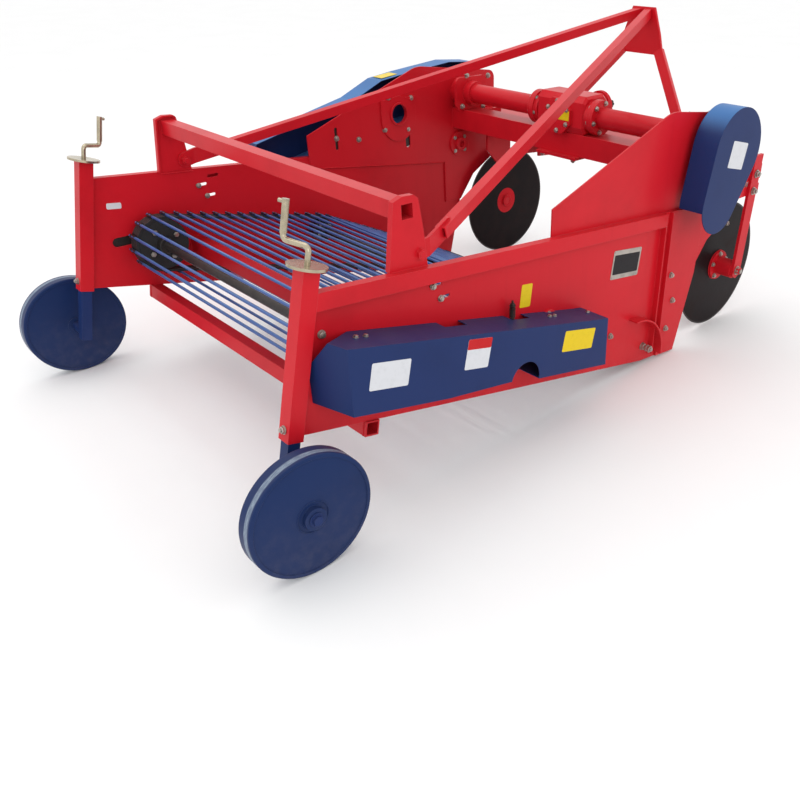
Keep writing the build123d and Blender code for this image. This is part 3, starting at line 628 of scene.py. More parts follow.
def placed(tree, points, shape, seed=0):
    """Stands a shape on every point, along the point's heading, turned at random about it."""
    heading = add(tree, "GeometryNodeInputNamedAttribute", {"Name": "heading"},
                  data_type="FLOAT_VECTOR").outputs["Attribute"]
    stand = add(tree, "FunctionNodeAlignRotationToVector", {"Vector": heading}, axis="Z").outputs[0]
    spin = add(tree, "FunctionNodeRandomValue", {"Seed": seed}, data_type="FLOAT")
    spin.inputs[2].default_value = 0.0
    spin.inputs[3].default_value = pi if seed else 0.0
    about = add(tree, "FunctionNodeAxisAngleToRotation",
                {"Axis": (0, 0, 1), "Angle": spin.outputs[1]}).outputs[0]
    turned = add(tree, "FunctionNodeRotateRotation", {0: stand, 1: about},
                 rotation_space="LOCAL").outputs[0]
    return add(tree, "GeometryNodeInstanceOnPoints",
               {"Points": points, "Instance": shape, "Rotation": turned}).outputs[0]


def hex_fastener_tree():
    """Washer, hexagon head with a chamfered top, and the end of the thread."""
    tree, given, out = shape_tree("hex_fasteners", [
        ("Corner Radius", "NodeSocketFloat", 11 * MM), ("Head", "NodeSocketFloat", 8 * MM),
        ("Washer Radius", "NodeSocketFloat", 13 * MM), ("Washer", "NodeSocketFloat", 2.5 * MM),
        ("Thread Radius", "NodeSocketFloat", 6 * MM), ("Thread", "NodeSocketFloat", 0.1 * MM)])
    washer = round_bar(tree, 20, given["Washer Radius"], given["Washer"])
    flats = times(tree, given["Head"], 0.8)
    body = lifted(tree, round_bar(tree, 6, given["Corner Radius"], flats), given["Washer"])
    chamfer = round_bar(tree, 6, given["Corner Radius"], times(tree, given["Head"], 0.2),
                        times(tree, given["Corner Radius"], 0.86))
    chamfer = lifted(tree, chamfer, plus(tree, flats, given["Washer"]))
    long = plus(tree, plus(tree, given["Head"], given["Washer"]), given["Thread"])
    thread = round_bar(tree, 10, given["Thread Radius"], long)
    shape = joined(tree, washer, body, chamfer, thread)
    return finish_tree(tree, given, out, placed(tree, given["Geometry"], shape, seed=7))


def rod_tree():
    """A rod of the web with chamfered ends, lying from every point along its heading."""
    tree, given, out = shape_tree("web_rods", [
        ("Radius", "NodeSocketFloat", 5.5 * MM), ("Long", "NodeSocketFloat", 1.38)])
    tip = times(tree, given["Radius"], 0.3)
    thin = times(tree, given["Radius"], 0.7)
    straight = maths(tree, "SUBTRACT", given["Long"], times(tree, tip, 2.0))
    near = round_bar(tree, 10, thin, tip, given["Radius"])
    body = lifted(tree, round_bar(tree, 10, given["Radius"], straight), tip)
    far = lifted(tree, round_bar(tree, 10, given["Radius"], tip, thin), plus(tree, straight, tip))
    shape = joined(tree, near, body, far)
    return finish_tree(tree, given, out, placed(tree, given["Geometry"], shape))


def rod_pad_tree():
    """Flat pad that clamps a rod's end to the belt, with two low rivets."""
    tree, given, out = shape_tree("rod_pads", [
        ("Long", "NodeSocketFloat", 44 * MM), ("Wide", "NodeSocketFloat", 17 * MM),
        ("Thick", "NodeSocketFloat", 3 * MM), ("Rivet", "NodeSocketFloat", 5 * MM)])
    size = vector_of(tree, X=given["Long"], Y=given["Wide"], Z=given["Thick"])
    pad = add(tree, "GeometryNodeMeshCube", {"Size": size}).outputs["Mesh"]
    dome = add(tree, "GeometryNodeMeshUVSphere", {"Segments": 8, "Rings": 4, "Radius": given["Rivet"]})
    apart = times(tree, given["Long"], 0.3)
    top = times(tree, given["Thick"], 0.5)
    rivets = [moved(tree, dome.outputs["Mesh"], vector_of(tree, X=times(tree, apart, side), Z=top),
                    (1, 1, 0.5)) for side in SIDES]
    shape = joined(tree, pad, *rivets)
    return finish_tree(tree, given, out, placed(tree, given["Geometry"], shape))


def weld_bead_tree():
    """A rippled bead along every edge chain."""
    tree, given, out = shape_tree("weld_beads", [
        ("Bead", "NodeSocketFloat", 2.6 * MM), ("Ripple", "NodeSocketFloat", 5 * MM)])
    path = add(tree, "GeometryNodeMeshToCurve", {0: given["Geometry"]}).outputs[0]
    path = add(tree, "GeometryNodeResampleCurve", {
        "Curve": path, "Length": times(tree, given["Ripple"], 0.5)}, mode="LENGTH").outputs[0]
    place = add(tree, "GeometryNodeInputPosition").outputs[0]
    lumps = add(tree, "ShaderNodeTexNoise",
                {"Vector": place, "Scale": 120.0, "Detail": 2.0}).outputs["Fac"]
    index = add(tree, "GeometryNodeInputIndex").outputs[0]
    beat = times(tree, maths(tree, "MODULO", index, 2.0), 0.16)
    swell = plus(tree, times_plus(tree, lumps, 0.7, 0.5), beat)
    path = add(tree, "GeometryNodeSetCurveRadius", {
        "Curve": path, "Radius": times(tree, swell, given["Bead"])}).outputs[0]
    profile = add(tree, "GeometryNodeCurvePrimitiveCircle", {"Resolution": 6, "Radius": 1.0})
    radius = add(tree, "GeometryNodeInputRadius").outputs[0]
    bead = add(tree, "GeometryNodeCurveToMesh", {
        "Curve": path, "Profile Curve": profile.outputs[0], "Scale": radius,
        "Fill Caps": True}).outputs[0]
    return finish_tree(tree, given, out, bead, smooth=True)


def spring_tree():
    """Coil spring that stands on every point."""
    tree, given, out = shape_tree("coil_springs", [
        ("Coil Radius", "NodeSocketFloat", 10 * MM), ("Wire", "NodeSocketFloat", 2 * MM),
        ("Height", "NodeSocketFloat", 40 * MM)])
    helix = add(tree, "GeometryNodeCurveSpiral", {
        "Resolution": 16, "Rotations": 6.0, "Start Radius": given["Coil Radius"],
        "End Radius": given["Coil Radius"], "Height": given["Height"]}).outputs[0]
    profile = add(tree, "GeometryNodeCurvePrimitiveCircle", {"Resolution": 6, "Radius": given["Wire"]})
    wire = add(tree, "GeometryNodeCurveToMesh", {
        "Curve": helix, "Profile Curve": profile.outputs[0], "Fill Caps": True}).outputs[0]
    return finish_tree(tree, given, out, placed(tree, given["Geometry"], wire), smooth=True)


def turned_into(bm, profile, centre, sign=1.0, steps=40):
    """Adds a closed turned shape to a mesh; profile rows are (X, radius), and sign mirrors it in X."""
    rings = []
    for x, radius in profile:
        ring = [bm.verts.new((sign * x, centre.y + radius * cos(2 * pi * k / steps),
                              centre.z + radius * sin(2 * pi * k / steps))) for k in range(steps)]
        rings.append(ring)
    for a, b in zip(rings, rings[1:]):
        for k in range(steps):
            bm.faces.new((a[k - 1], a[k], b[k], b[k - 1]))
    for ring in (rings[0], rings[-1]):
        bm.faces.new(ring)


def flat_plate(bm, corners, normal, thick):
    """Adds a thin closed plate: its outline, pushed out along a normal by its thickness."""
    base = [bm.verts.new(p) for p in corners]
    top = [bm.verts.new(Vector(p) + Vector(normal) * thick) for p in corners]
    bm.faces.new(base)
    bm.faces.new(top)
    for k in range(len(corners)):
        bm.faces.new((base[k - 1], base[k], top[k], top[k - 1]))


def level_corners(x0, x1, y0, y1, z):
    """Corners of a level rectangle at Z = z."""
    return [(x0, y0, z), (x1, y0, z), (x1, y1, z), (x0, y1, z)]


def tipped(along, up, turn):
    """A step along and up in the plane of a side, tipped by an angle."""
    return along * cos(turn) - up * sin(turn), along * sin(turn) + up * cos(turn)


def rounded_sheet(x, y, z, wide, high, turn, corner):
    """Outline in the plane X = x, round its corners; turn tips its long side up towards the front."""
    points = []
    for k, (sy, sz) in enumerate(quarters):
        for step in range(4):
            a = pi / 2 * (k + step / 3)
            along, up = tipped(sy * (wide / 2 - corner) + corner * cos(a),
                               sz * (high / 2 - corner) + corner * sin(a), turn)
            points.append((x, y + along, z + up))
    return points


# ---- operators: paint and fasteners ----
class DIGGER_OT_paint_frame(bpy.types.Operator):
    """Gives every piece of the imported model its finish"""
    bl_idname = "digger.paint_frame"
    bl_label = "Paint the Frame"

    def execute(self, context):
        slots = {row["node"]: row["material_slot"] for row in frame["record"]["subparts"]}
        for name, piece in frame["nodes"].items():
            piece.data.materials.clear()
            piece.data.materials.append(finish(own_finish.get(name, slots[name])))
        return {"FINISHED"}


# corner radius, head, washer radius, washer, thread radius, thread past the head, in millimetres
fastener_sizes = {
    "m8": (7.5, 5.5, 8.5, 1.6, 4, 0.1),
    "m10": (9.8, 6.5, 11, 2, 5, 3),
    "m12": (11, 8, 13, 2.5, 6, 4),
    "m16": (13.9, 10, 17, 3, 8, 6),
    "m20": (17, 13, 20, 3, 10, 7),
    "plug": (12, 9, 15, 3, 6, 0.1),
}


def bolted(name, size, rows, finish_name="bright_zinc", body="frame"):
    """Stands bolts of one size on rows of (place, direction), and keeps them as one piece."""
    tree = bpy.data.node_groups.get("hex_fasteners") or hex_fastener_tree()
    corner, head, washer, washer_t, thread, past = (v * MM for v in fastener_sizes[size])
    run_tree(name, point_mesh("places", rows), tree, finish_name, body,
             Corner_Radius=corner, Head=head, Washer_Radius=washer, Washer=washer_t,
             Thread_Radius=thread, Thread=past)


def both_sides(rows):
    """Mirrors rows of (x, y, z, direction) onto the left side; y and z are millimetres."""
    out = []
    for side in SIDES:
        for x, y, z, (dx, dy, dz) in rows:
            out.append(((side * x, y * MM, z * MM), (side * dx, dy, dz)))
    return out


def facing(rows, x, direction):
    """Rows of (y, z) on the face at x, as (x, y, z, direction)."""
    return [(x, y, z, direction) for y, z in rows]


def ring_of(centre_y, centre_z, radius, places, phase=0.0):
    """(y, z) of fasteners in a ring, in millimetres."""
    turns = [radians(phase) + 2 * pi * k / places for k in range(places)]
    return [(centre_y + radius * cos(t), centre_z + radius * sin(t)) for t in turns]


def frame_fasteners():
    """Rows of (size, places) of the frame's fasteners, but for those set with a fitting."""
    out, back = (1, 0, 0), (-1, 0, 0)
    shaft = middle_of("right_shaft_tube") / MM
    bearing_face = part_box("right_shaft_tube")[1].x - 84 * MM      # inner face of the tube's end plate
    flange = gearbox_high.x
    cover_back = gearbox_low.y
    lean = radians(14.1)                                          # of the side plates' rear edge
    slope = radians(13)                                           # of the long cover's top
    lip = (0, sin(slope), cos(slope))
    carrier = -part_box("left_bearing_plates")[0].x
    return [
        # wear strips
        ("m12", both_sides(facing(((641, 378), (673, 257), (647, 135), (609, 66)), strip_x, out))),
        # short slots of the side plates, on both faces
        ("m10", both_sides(facing(((-622, 676), (-593, 629)), plate_x, out)
                           + facing(((-622, 676), (-593, 629)), plate_in, back))),
        # coulter arms: clamp, then stub axle
        ("m16", both_sides(facing(((1141, 712), (1136, 640)), arm_x, out))),
        ("m20", both_sides(facing(((disc_axis.y / MM, disc_axis.z / MM),), arm_x, out))),
        # end plates of the shaft tubes
        ("m12", both_sides(facing(((794, 973), (937, 959), (761, 832), (901, 816)), bearing_face, back))),
        # ring flanges between gearbox and tubes
        ("m10", both_sides(facing(ring_of(shaft.y, shaft.z, 61, 6, 15), flange + 14 * MM, out)
                           + facing(ring_of(shaft.y, shaft.z, 61, 6, 15), flange - 16 * MM, back))),
        # gearbox: rear cover, then oil plug
        ("m10", [((sx * MM, cover_back, sz * MM), (0, -1, 0))
                 for sx, sz in ring_of(0, shaft.z - 6, 62, 6, 30)]),
        ("plug", [((20 * MM, 830 * MM, gearbox_high.z), (0, 0, 1))]),
        # hitch brackets
        ("m16", both_sides([(0.366 + side * 0.040, 1196, 797, (0, 0, 1)) for side in SIDES])),
        # leg clamps
        ("m12", both_sides([(plate_x, -1173, 406, (0, -cos(lean), sin(lean)))])),
        # left upper plate: bearing plates and slots
        ("m12", [((-x, y * MM, z * MM), (1, 0, 0)) for x, y, z in (
            *((carrier, y, z) for y, z in ((367, 905), (504, 890), (337, 765), (476, 750))),
            *((carrier - 2 * MM, y, z) for y, z in ring_of(808, 634, 46, 4, 45)),
            (upper_in, 62, 765), (upper_in, 183, 743))]),
        # long cover
        ("m8", [((cover_x - 80 * MM, y * MM, (667 - 0.23 * (y + 1100)) * MM), lip)
                for y in (-945, -912, -148, -123, 60)]),
        # front cover, then long cover, on the plates
        ("m10", [((upper_x, y * MM, z * MM), out) for y, z in ((786, 778), (1056, 503))]),
        ("m12", [((plate_x, y * MM, z * MM), out) for y, z in ((-1020, 648), (275, 216))]),
    ]


class DIGGER_OT_fasteners(bpy.types.Operator):
    """Bolts, nuts and plugs of the frame, and the bolts of the coulters' hubs"""
    bl_idname = "digger.fasteners"
    bl_label = "Fasteners"

    def execute(self, context):
        by_size = {}
        for size, rows in frame_fasteners():
            by_size.setdefault(size, []).extend(rows)
        for size, rows in by_size.items():
            bolted(f"frame_{size}_fasteners", size, rows)
        for side, body in ((-1, "left_disc"), (1, "right_disc")):
            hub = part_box(body)[0].x if side > 0 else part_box(body)[1].x
            face = side * (abs(hub) + 27 * MM)
            rows = [((face, y * MM, z * MM), (side, 0, 0))
                    for y, z in ring_of(disc_axis.y / MM, disc_axis.z / MM, 53, 5, 20)]
            bolted(body + "_m10_fasteners", "m10", rows, body=body)
        return {"FINISHED"}


# ---- welds ----
def square_round(x, y, z, half_y, half_z, turn=0.0):
    """Closed line round a square tube where it meets a plate at X = x; y and z are millimetres."""
    corners = []
    for sy, sz in (*quarters, quarters[0]):
        across, up = tipped(sy * half_y, sz * half_z, turn)
        corners.append((x, (y + across) * MM, (z + up) * MM))
    return corners


def round_line(x, centre, radius):
    """Closed circle at X = x about a centre."""
    steps = 40
    turns = [2 * pi * (k % steps) / steps for k in range(steps + 1)]
    return [(x, centre.y + radius * cos(t), centre.z + radius * sin(t)) for t in turns]


def at(x, *rows):
    """A line at X = x through rows of (y, z) in millimetres."""
    return [(x, y * MM, z * MM) for y, z in rows]


def frame_seams():
    """Weld lines of the right side, which are mirrored onto the left."""
    beam = middle_of("main_beam") / MM
    front = middle_of("front_beam") / MM
    middle = middle_of("middle_cross_member") / MM
    arch = middle_of("arch_tube") / MM
    lower = middle_of("lower_crossbar") / MM
    cheek = right_face("hitch_bracket") - 118 * MM
    return [
        at(plate_x, (-1130, 369), (-1028, 774)),
        at(plate_in, (-1130, 369), (-1028, 774)),
        at(plate_x, (-1020, 725), (545, 605)),
        at(plate_x, (-776, 757), (-638, 747)),
        at(plate_x - 20 * MM, (-770, 752), (-640, 742)),
        at(plate_x, (545, 45), (545, 604)),
        at(plate_x, (591, 45), (591, 651)),
        at(upper_x + MM, (-88, 703), (600, 650), (834, 634)),
        at(upper_in, (709, 548), (709, 345)),
        at(upper_in, (-88, 654), (708, 552)),
        square_round(plate_x - 8 * MM, arch.y, arch.z, 25, 26),
        square_round(plate_in, middle.y, middle.z, 28, 28),
        square_round(plate_in, lower.y, lower.z, 25, 25, -radians(11.78)),
        square_round(upper_in, beam.y, beam.z, 55, 47.5),
        square_round(upper_in, front.y, front.z, 40, 40),
        at(cheek, (1057, 706), (1057, 784)),
        at(cheek, (975, 706), (1055, 706)),
        at(right_face("beam_gusset"), (882, 704), (882, 812)),
    ]


class DIGGER_OT_weld_beads(bpy.types.Operator):
    """Weld beads of the frame and round the wheels' hubs"""
    bl_idname = "digger.weld_beads"
    bl_label = "Weld Beads"

    def execute(self, context):
        sizes = context.scene.digger_fittings
        tree = weld_bead_tree()
        lines = []
        for line in frame_seams():
            lines += [[(side * x, y, z) for x, y, z in line] for side in SIDES]
        run_tree("frame_weld_beads", line_mesh("seams", lines), tree, "red_paint",
                 Bead=sizes.bead, Ripple=sizes.ripple)
        hub_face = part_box("right_wheel")[1].x - 17 * MM
        for side, body in zip(SIDES, wheels):
            rings = [round_line(side * hub_face, wheel_axis, radius) for radius in (36 * MM, 50 * MM)]
            run_tree(body + "_weld_beads", line_mesh("seams", rings), tree, "wheel_paint", body,
                     Bead=sizes.bead, Ripple=sizes.ripple)
        return {"FINISHED"}


# ---- web ----
# rollers of the loop: Y, Z and the radius of the rods' path round them, in millimetres
rollers = ((-845, 500, 116), (-105, 392, 66), (552, 95, 52))
rod_radius, shaft_radius, boss_radius = 5.5 * MM, 17.5 * MM, 32 * MM
rear_drum, middle_drum = 101 * MM, 51 * MM                        # radii over the treads
belt_half, drum_half, tread_half = 27.5 * MM, 24 * MM, 27 * MM    # half widths
belt_thick, tread_thick = 9 * MM, 12 * MM
boss_long = 34 * MM
rod_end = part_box("web_rods")[1].x
belt_mid = rod_end - 30 * MM


def roller_centre(k):
    return Vector((0, rollers[k][0] * MM, rollers[k][1] * MM))


def evenly_spaced(path, pitch):
    """Points at equal steps of about the pitch along a closed path."""
    legs = [(b - a).length for a, b in zip(path, path[1:] + path[:1])]
    places = round(sum(legs) / pitch)
    points, leg, walked = [], 0, 0.0
    for k in range(places):
        target = k * sum(legs) / places
        while walked + legs[leg] < target:
            walked += legs[leg]
            leg += 1
        a, b = path[leg], path[(leg + 1) % len(path)]
        points.append(a + (b - a) * (target - walked) / legs[leg])
    return points


def web_loop(pitch):
    """Evenly spaced (y, z, outward y, outward z) rows along the taut loop round the rollers."""
    rim = [Vector(((y + r * cos(radians(2 * k))) * MM, (z + r * sin(radians(2 * k))) * MM))
           for y, z, r in rollers for k in range(180)]
    points = evenly_spaced([rim[k] for k in convex_hull_2d(rim)], pitch)
    middle = sum(points, Vector((0, 0))) / len(points)
    rows = []
    for k, place in enumerate(points):
        run = (points[(k + 1) % len(points)] - points[k - 1]).normalized()
        outward = Vector((run.y, -run.x))
        if outward.dot(place - middle) < 0:
            outward = -outward
        rows.append((place.x, place.y, outward.x, outward.y))
    return rows


def belt_band(bm, rows, x):
    """One endless flat belt under the rods."""
    under = rod_radius + belt_thick
    section = ((-belt_half, rod_radius), (belt_half, rod_radius), (belt_half, under), (-belt_half, under))
    rings = []
    for y, z, out_y, out_z in rows:
        rings.append([bm.verts.new((x + across, y - down * out_y, z - down * out_z))
                      for across, down in section])
    for ring, following in zip(rings, rings[1:] + rings[:1]):
        for k in range(4):
            bm.faces.new((ring[k], ring[(k + 1) % 4], following[(k + 1) % 4], following[k]))


def web_shaft(name, node, centre, drum, tread_finish):
    """A through shaft with a flanged, bolted drum under each belt; returns the bolts' places."""
    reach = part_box(node)[1].x
    thin = shaft_radius - MM
    bm = bmesh.new()
    turned_into(bm, [(-reach, thin), (-reach + MM, shaft_radius), (reach - MM, shaft_radius),
                     (reach, thin)], centre)
    a, b = belt_mid - drum_half, belt_mid + drum_half
    boss, rim = boss_radius - 2 * MM, drum - tread_thick
    for side in SIDES:
        turned_into(bm, [(a - boss_long, boss), (a - boss_long + 2 * MM, boss_radius), (a, boss_radius),
                         (a, 18 * MM)], centre, side)
        turned_into(bm, [(a, boss), (a, rim), (a + 5 * MM, rim), (b, rim), (b, boss)], centre, side)
    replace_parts(from_bmesh(name, bm, "dark_steel"), node)
    bm = bmesh.new()
    a, b = belt_mid - tread_half, belt_mid + tread_half
    for side in SIDES:
        turned_into(bm, [(a, rim - MM), (a, drum - 2 * MM), (a + 2 * MM, drum), (b - 2 * MM, drum),
                         (b, drum - 2 * MM), (b, rim - MM)], centre, side)
    from_bmesh(name + "_treads", bm, tread_finish)
    ring, inner = 0.6 * drum, belt_mid - drum_half
    return [((side * inner, centre.y + ring * cos(t), centre.z + ring * sin(t)), (-side, 0, 0))
            for side in SIDES for t in (0.5, 2.07, 3.64, 5.21)]


class DIGGER_OT_web(bpy.types.Operator):
    """Rods, belts, riveted pads, shafts and bolted drums of the rod web"""
    bl_idname = "digger.web"
    bl_label = "Rod Web"

    def execute(self, context):
        sizes = context.scene.digger_fittings
        rods = web_loop(sizes.rod_pitch)
        ends = point_mesh("rods", [((-rod_end, y, z), (1, 0, 0)) for y, z, _, _ in rods])
        piece = run_tree("riveted_rods", ends, rod_tree(), "rod_paint",
                         Radius=rod_radius, Long=2 * rod_end)
        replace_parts(piece, "web_rods")
        bm = bmesh.new()
        for side in SIDES:
            belt_band(bm, web_loop(sizes.rod_pitch / 2), side * belt_mid)
        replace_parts(from_bmesh("riveted_belts", bm, "belt_rubber"), "web_belts")
        rise = 3 * MM
        pads = [((side * belt_mid, y + rise * out_y, z + rise * out_z), (0, out_y, out_z))
                for side in SIDES for y, z, out_y, out_z in rods]
        run_tree("rod_pads", point_mesh("pads", pads), rod_pad_tree(), "dark_steel",
                 Long=sizes.pad_long, Wide=sizes.pad_wide, Thick=sizes.pad_thick, Rivet=sizes.rivet)
        bolts = web_shaft("rear_shaft_and_drums", "rear_web_shaft", roller_centre(0), rear_drum,
                          "belt_rubber")
        bolts += web_shaft("middle_shaft_and_rollers", "middle_web_roller", roller_centre(1), middle_drum,
                           "dark_steel")
        bolted("drum_bolts", "m12", bolts)
        return {"FINISHED"}


# ---- bearings and small fittings ----
# dark plates over the left plates' slots, painted shade where the slots lie in shadow: face in metres,
# then Y and Z from and to in millimetres
slide_plates = ((plate_x, -1040, -902, 465, 560), (upper_x, 40, 84, 703, 823),
                (upper_x, 432, 518, 668, 722))

# half section of a flanged bearing: millimetres out from the side plate, and radius
flange_profile = ((0, 52), (7, 52), (8.5, 50), (10, 34), (21, 30), (23, 26), (23, 8))


class DIGGER_OT_bearings(bpy.types.Operator):
    """Flanged bearings of the web's shafts on the outside of the side plates, with their bolts"""
    bl_idname = "digger.bearings"
    bl_label = "Flanged Bearings"

    def execute(self, context):
        bm = bmesh.new()
        rows = []
        profile = [(plate_x + x * MM, radius * MM) for x, radius in flange_profile]
        for k in (0, 1):
            centre = roller_centre(k)
            for side in SIDES:
                turned_into(bm, profile, centre, side)
                rows += [((side * (plate_x + 8 * MM), y * MM, z * MM), (side, 0, 0))
                         for y, z in ring_of(centre.y / MM, centre.z / MM, 42, 3, 90)]
        from_bmesh("flanged_bearings", bm, "red_paint")
        # dark steel plates over the left slots: painted shade
        bm = bmesh.new()
        for x, y0, y1, z0, z1 in slide_plates:
            corners = [(-x, y * MM, z * MM) for y, z in ((y0, z0), (y1, z0), (y1, z1), (y0, z1))]
            flat_plate(bm, corners, (-1, 0, 0), 5 * MM)
        from_bmesh("slide_plates", bm, "dark_steel")
        bolted("bearing_bolts", "m8", rows)
        return {"FINISHED"}


class DIGGER_OT_small_fittings(bpy.types.Operator):
    """Stone guards, long stud with its nuts, chain tensioner and the gearbox foot"""
    bl_idname = "digger.small_fittings"
    bl_label = "Small Fittings"

    def execute(self, context):
        self.stone_guards()
        self.stud()
        self.tensioner()
        self.gearbox_foot()
        return {"FINISHED"}

    def stone_guards(self):
        """A curved strip that stands on each side plate over the front roller's bearing."""
        bm = bmesh.new()
        y, z, inside, outside = 400 * MM, 62 * MM, 184 * MM, 190 * MM
        for side in SIDES:
            a, b = side * plate_x, side * (plate_x + 44 * MM)
            corners = []
            for t in (radians(92 - 97 * k / 16) for k in range(17)):
                corners.append([bm.verts.new((x, y + r * cos(t), z + r * sin(t)))
                                for x, r in ((a, inside), (b, inside), (b, outside), (a, outside))])
            for one, two in zip(corners, corners[1:]):
                for k in range(4):
                    bm.faces.new((one[k - 1], one[k], two[k], two[k - 1]))
            bm.faces.new(corners[0])
            bm.faces.new(corners[-1])
        from_bmesh("stone_guards", bm, "red_paint")

    def stud(self):
        """The long stud through each side plate that sets the front roller."""
        bm = bmesh.new()
        centre = Vector((0, 504 * MM, 94 * MM))
        screw = ((0, 17), (3, 17), (3, 9), (50, 9), (52, 7))
        nut = ((0, 13), (1, 15), (10, 15), (11, 13))
        for side in SIDES:
            for start, profile, sides in ((0, screw, 24), (3, nut, 6), (20, nut, 6), (34, nut, 6)):
                rows = [(plate_x + (start + x) * MM, radius * MM) for x, radius in profile]
                turned_into(bm, rows, centre, side, sides)
        from_bmesh("roller_studs", bm, "bright_zinc")

    def tensioner(self):
        """Upright screw with nuts and a spring, in the long cover's second notch."""
        foot = Vector((plate_x + 24 * MM, -304 * MM, 452 * MM))
        up = Vector((0, 0, 1))
        for name, rise in (("upper", 62 * MM), ("lower", 8 * MM)):
            rows = [(foot + (rise + k * 11 * MM) * up, up) for k in range(2)]
            bolted(f"tensioner_{name}_nuts", "m10", rows, "dark_steel")
        spring = point_mesh("spring", [(foot + 30 * MM * up, up)])
        run_tree("tensioner_spring", spring, spring_tree(), "dark_steel",
                 Coil_Radius=9 * MM, Wire=1.8 * MM, Height=32 * MM)
        bm = bmesh.new()
        radius = 4 * MM
        bmesh.ops.create_cone(bm, cap_ends=True, segments=16, radius1=radius, radius2=radius,
                              depth=100 * MM, matrix=Matrix.Translation(foot + 42 * MM * up))
        lug = level_corners(plate_x, plate_x + 40 * MM, foot.y - 22 * MM, foot.y + 22 * MM, 450 * MM)
        flat_plate(bm, lug, up, 6 * MM)
        from_bmesh("tensioner_screw", bm, "dark_steel")

    def gearbox_foot(self):
        """Plate under the main beam that the gearbox is bolted down to."""
        low, thick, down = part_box("main_beam")[0].z, 12 * MM, (0, 0, -1)
        bm = bmesh.new()
        flat_plate(bm, level_corners(-120 * MM, 120 * MM, 742 * MM, 892 * MM, low), down, thick)
        from_bmesh("gearbox_foot", bm, "red_paint")
        rows = [((x * MM, y * MM, low - thick), down) for x in (-95, 95) for y in (758, 876)]
        bolted("gearbox_foot_bolts", "m12", rows)


# ---- blank plates ----
# face, y, z, width, height in millimetres, tilt in degrees, film, and the share of a red top band
sheet_table = (
    (cover_x, -895, 528, 138, 82, -13, "white_film", 0.0),
    (cover_x, -559, 477, 101, 99, -13, "white_film", 0.34),
    (cover_x, -78, 364, 166, 76, -13, "yellow_film", 0.0),
    (cover_x, 815, 854, 110, 100, -13, "white_film", 0.0),
    (plate_x, -215, 529, 52, 82, -8, "yellow_film", 0.0),
    (-plate_in, -974, 662, 56, 23, -7, "white_film", 0.0),
)


class DIGGER_OT_blank_plates(bpy.types.Operator):
    """Blank films on the covers and plates, and the blank rating plate"""
    bl_idname = "digger.blank_plates"
    bl_label = "Blank Plates"

    def execute(self, context):
        thick, out = context.scene.digger_fittings.film, (1, 0, 0)
        sheets = {}
        for x, y, z, wide, high, tilt, kind, band in sheet_table:
            turn = radians(tilt)
            corners = rounded_sheet(x, y * MM, z * MM, wide * MM, high * MM, turn, 5 * MM)
            flat_plate(sheets.setdefault(kind, bmesh.new()), corners, out, thick)
            if band:
                along, up = tipped(0, high * (1 - band) / 2, turn)
                corners = rounded_sheet(x + thick, (y + along) * MM, (z + up) * MM,
                                        wide * MM, high * band * MM, turn, 4 * MM)
                flat_plate(sheets.setdefault("red_film", bmesh.new()), corners, out, 0.2 * MM)
        self.on_gearbox(sheets["yellow_film"], thick)
        self.on_left_cover(sheets["yellow_film"], thick)
        for kind, bm in sheets.items():
            from_bmesh("blank_" + kind, bm, kind)
        self.rating_plate()
        return {"FINISHED"}

    def on_gearbox(self, bm, thick):
        """A blank on the gearbox's rear cover."""
        y = gearbox_low.y
        z = (gearbox_low.z + gearbox_high.z) / 2
        corners = [(x * MM, y, z + rise * MM) for x, rise in ((-10, -22), (70, -22), (70, 18), (-10, 18))]
        flat_plate(bm, corners, (0, -1, 0), thick)

    def on_left_cover(self, bm, thick):
        """A blank on the flat top of the left cover."""
        y0, z0, y1, z1 = 385 * MM, 980 * MM, 480 * MM, 990 * MM
        slope = atan2(z1 - z0, y1 - y0)
        normal = Vector((0, -sin(slope), cos(slope)))
        inner, outer = -cover_x + 82 * MM, -cover_x + 16 * MM
        corners = [(inner, y0, z0), (outer, y0, z0), (outer, y1, z1), (inner, y1, z1)]
        flat_plate(bm, [Vector(corner) + normal * 2 * MM for corner in corners], normal, thick)

    def rating_plate(self):
        """Bright plate with a black field, blank, held by four rivets."""
        y, z, turn = 337 * MM, 504 * MM, radians(-7.5)
        out, thick = (1, 0, 0), 1.2 * MM
        rim, field = bmesh.new(), bmesh.new()
        flat_plate(rim, rounded_sheet(plate_x, y, z, 172 * MM, 112 * MM, turn, 6 * MM), out, thick)
        face = rounded_sheet(plate_x + thick, y, z, 156 * MM, 76 * MM, turn, 3 * MM)
        flat_plate(field, face, out, 0.3 * MM)
        x = plate_x + MM
        rivet = [(x, 3 * MM), (x + 1.5 * MM, 3 * MM), (x + 2.4 * MM, 1.5 * MM)]
        for sy, sz in quarters:
            along, up = tipped(sy * 78 * MM, sz * 49 * MM, turn)
            turned_into(rim, rivet, Vector((0, y + along, z + up)), 1, 10)
        from_bmesh("rating_plate", rim, "bright_zinc")
        from_bmesh("rating_plate_field", field, "black_plate")


# ---- stage ----
class DIGGER_OT_stage(bpy.types.Operator):
    """Makes the floor, the light and the camera"""
    bl_idname = "digger.stage"
    bl_label = "Floor, Light and Camera"

    def execute(self, context):
        stage = context.scene.digger_stage
        make_floor(stage)
        make_light(stage)
        make_camera(stage)
        return {"FINISHED"}


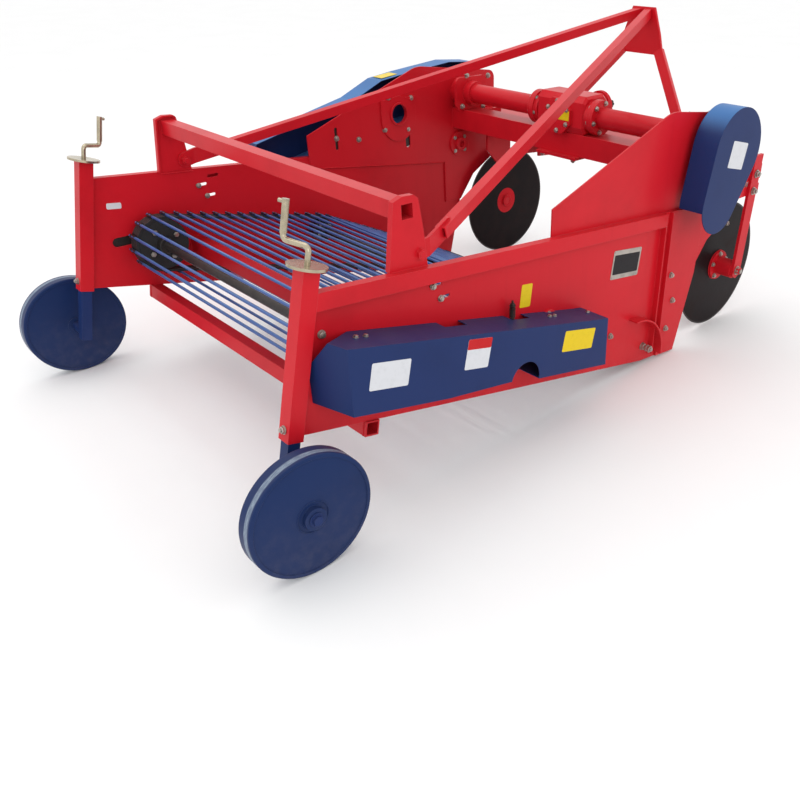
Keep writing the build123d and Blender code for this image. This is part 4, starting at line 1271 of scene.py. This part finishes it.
def make_floor(stage):
    half = stage.floor_half
    mesh = bpy.data.meshes.new("floor")
    mesh.from_pydata(level_corners(-half, half, -half, half, 0), [], [(0, 1, 2, 3)])
    material, tree, shader = new_material("pale_floor", {"Roughness": 0.8, **specular(0.1)})
    place = object_place(tree)
    grain = ramp(tree, noise(tree, place, 1.5, 8.0, 0.6), 0.3, 0.8)
    body = blend_colours(tree, grain, rgba(stage.floor), rgba(scaled(stage.floor, 0.98)))
    tree.links.new(body, shader.inputs["Base Color"])
    mesh.materials.append(material)
    floor = bpy.data.objects.new("floor", mesh)
    bpy.context.scene.collection.objects.link(floor)


def area_light(name, place, aim, size, power):
    light = bpy.data.lights.new(name, "AREA")
    light.shape = "DISK"
    light.size = size
    light.energy = power
    lamp = bpy.data.objects.new(name, light)
    lamp.location = place
    lamp.rotation_euler = (Vector(aim) - Vector(place)).to_track_quat("-Z", "Y").to_euler()
    bpy.context.scene.collection.objects.link(lamp)


def make_light(stage):
    world = bpy.data.worlds.new("even_sky")
    world.use_nodes = True
    sky = world.node_tree.nodes["Background"]
    sky.inputs["Color"].default_value = (1.0, 1.0, 1.0, 1.0)
    sky.inputs["Strength"].default_value = stage.sky
    bpy.context.scene.world = world
    middle = (0, 0, 0.5)
    area_light("overhead_softbox", (-1.5, -1.0, 6.0), middle, 5.0, 60)
    area_light("side_softbox", (6.0, -3.5, 3.2), middle, 3.5, 50)


def make_camera(stage):
    data = bpy.data.cameras.new("camera")
    data.sensor_width = 36.0
    data.lens = stage.lens
    data.shift_x, data.shift_y = stage.shift
    data.clip_end = 200.0
    camera = bpy.data.objects.new("camera", data)
    turn = Matrix.Rotation(stage.heading, 4, "Z") @ Matrix.Rotation(pi / 2 - stage.dip, 4, "X")
    turn = turn @ Matrix.Rotation(stage.roll, 4, "Z")
    camera.matrix_world = Matrix.Translation(stage.camera_at) @ turn
    bpy.context.scene.collection.objects.link(camera)
    bpy.context.scene.camera = camera


class DIGGER_PT_panel(bpy.types.Panel):
    """Lists the steps that finish the digger"""
    bl_label = "Potato Digger"
    bl_idname = "DIGGER_PT_panel"
    bl_space_type = "VIEW_3D"
    bl_region_type = "UI"
    bl_category = "Digger"

    def draw(self, context):
        for step in steps:
            self.layout.operator(step.bl_idname)


steps = (DIGGER_OT_paint_frame, DIGGER_OT_fasteners, DIGGER_OT_weld_beads, DIGGER_OT_web,
         DIGGER_OT_bearings, DIGGER_OT_small_fittings, DIGGER_OT_blank_plates, DIGGER_OT_stage)
groups = {"digger_paint": DiggerPaint, "digger_fittings": DiggerFittings, "digger_stage": DiggerStage}


def register():
    for kind in (*groups.values(), *steps, DIGGER_PT_panel):
        bpy.utils.register_class(kind)
    for name, kind in groups.items():
        setattr(bpy.types.Scene, name, bpy.props.PointerProperty(type=kind))


def unregister():
    for name in groups:
        delattr(bpy.types.Scene, name)
    for kind in (DIGGER_PT_panel, *reversed(steps), *groups.values()):
        bpy.utils.unregister_class(kind)


def main():
    register()
    bpy.context.scene.view_settings.view_transform = "Standard"
    for step in steps:
        area, action = step.bl_idname.split(".")
        getattr(getattr(bpy.ops, area), action)()


if __name__ == "__main__":
    main()
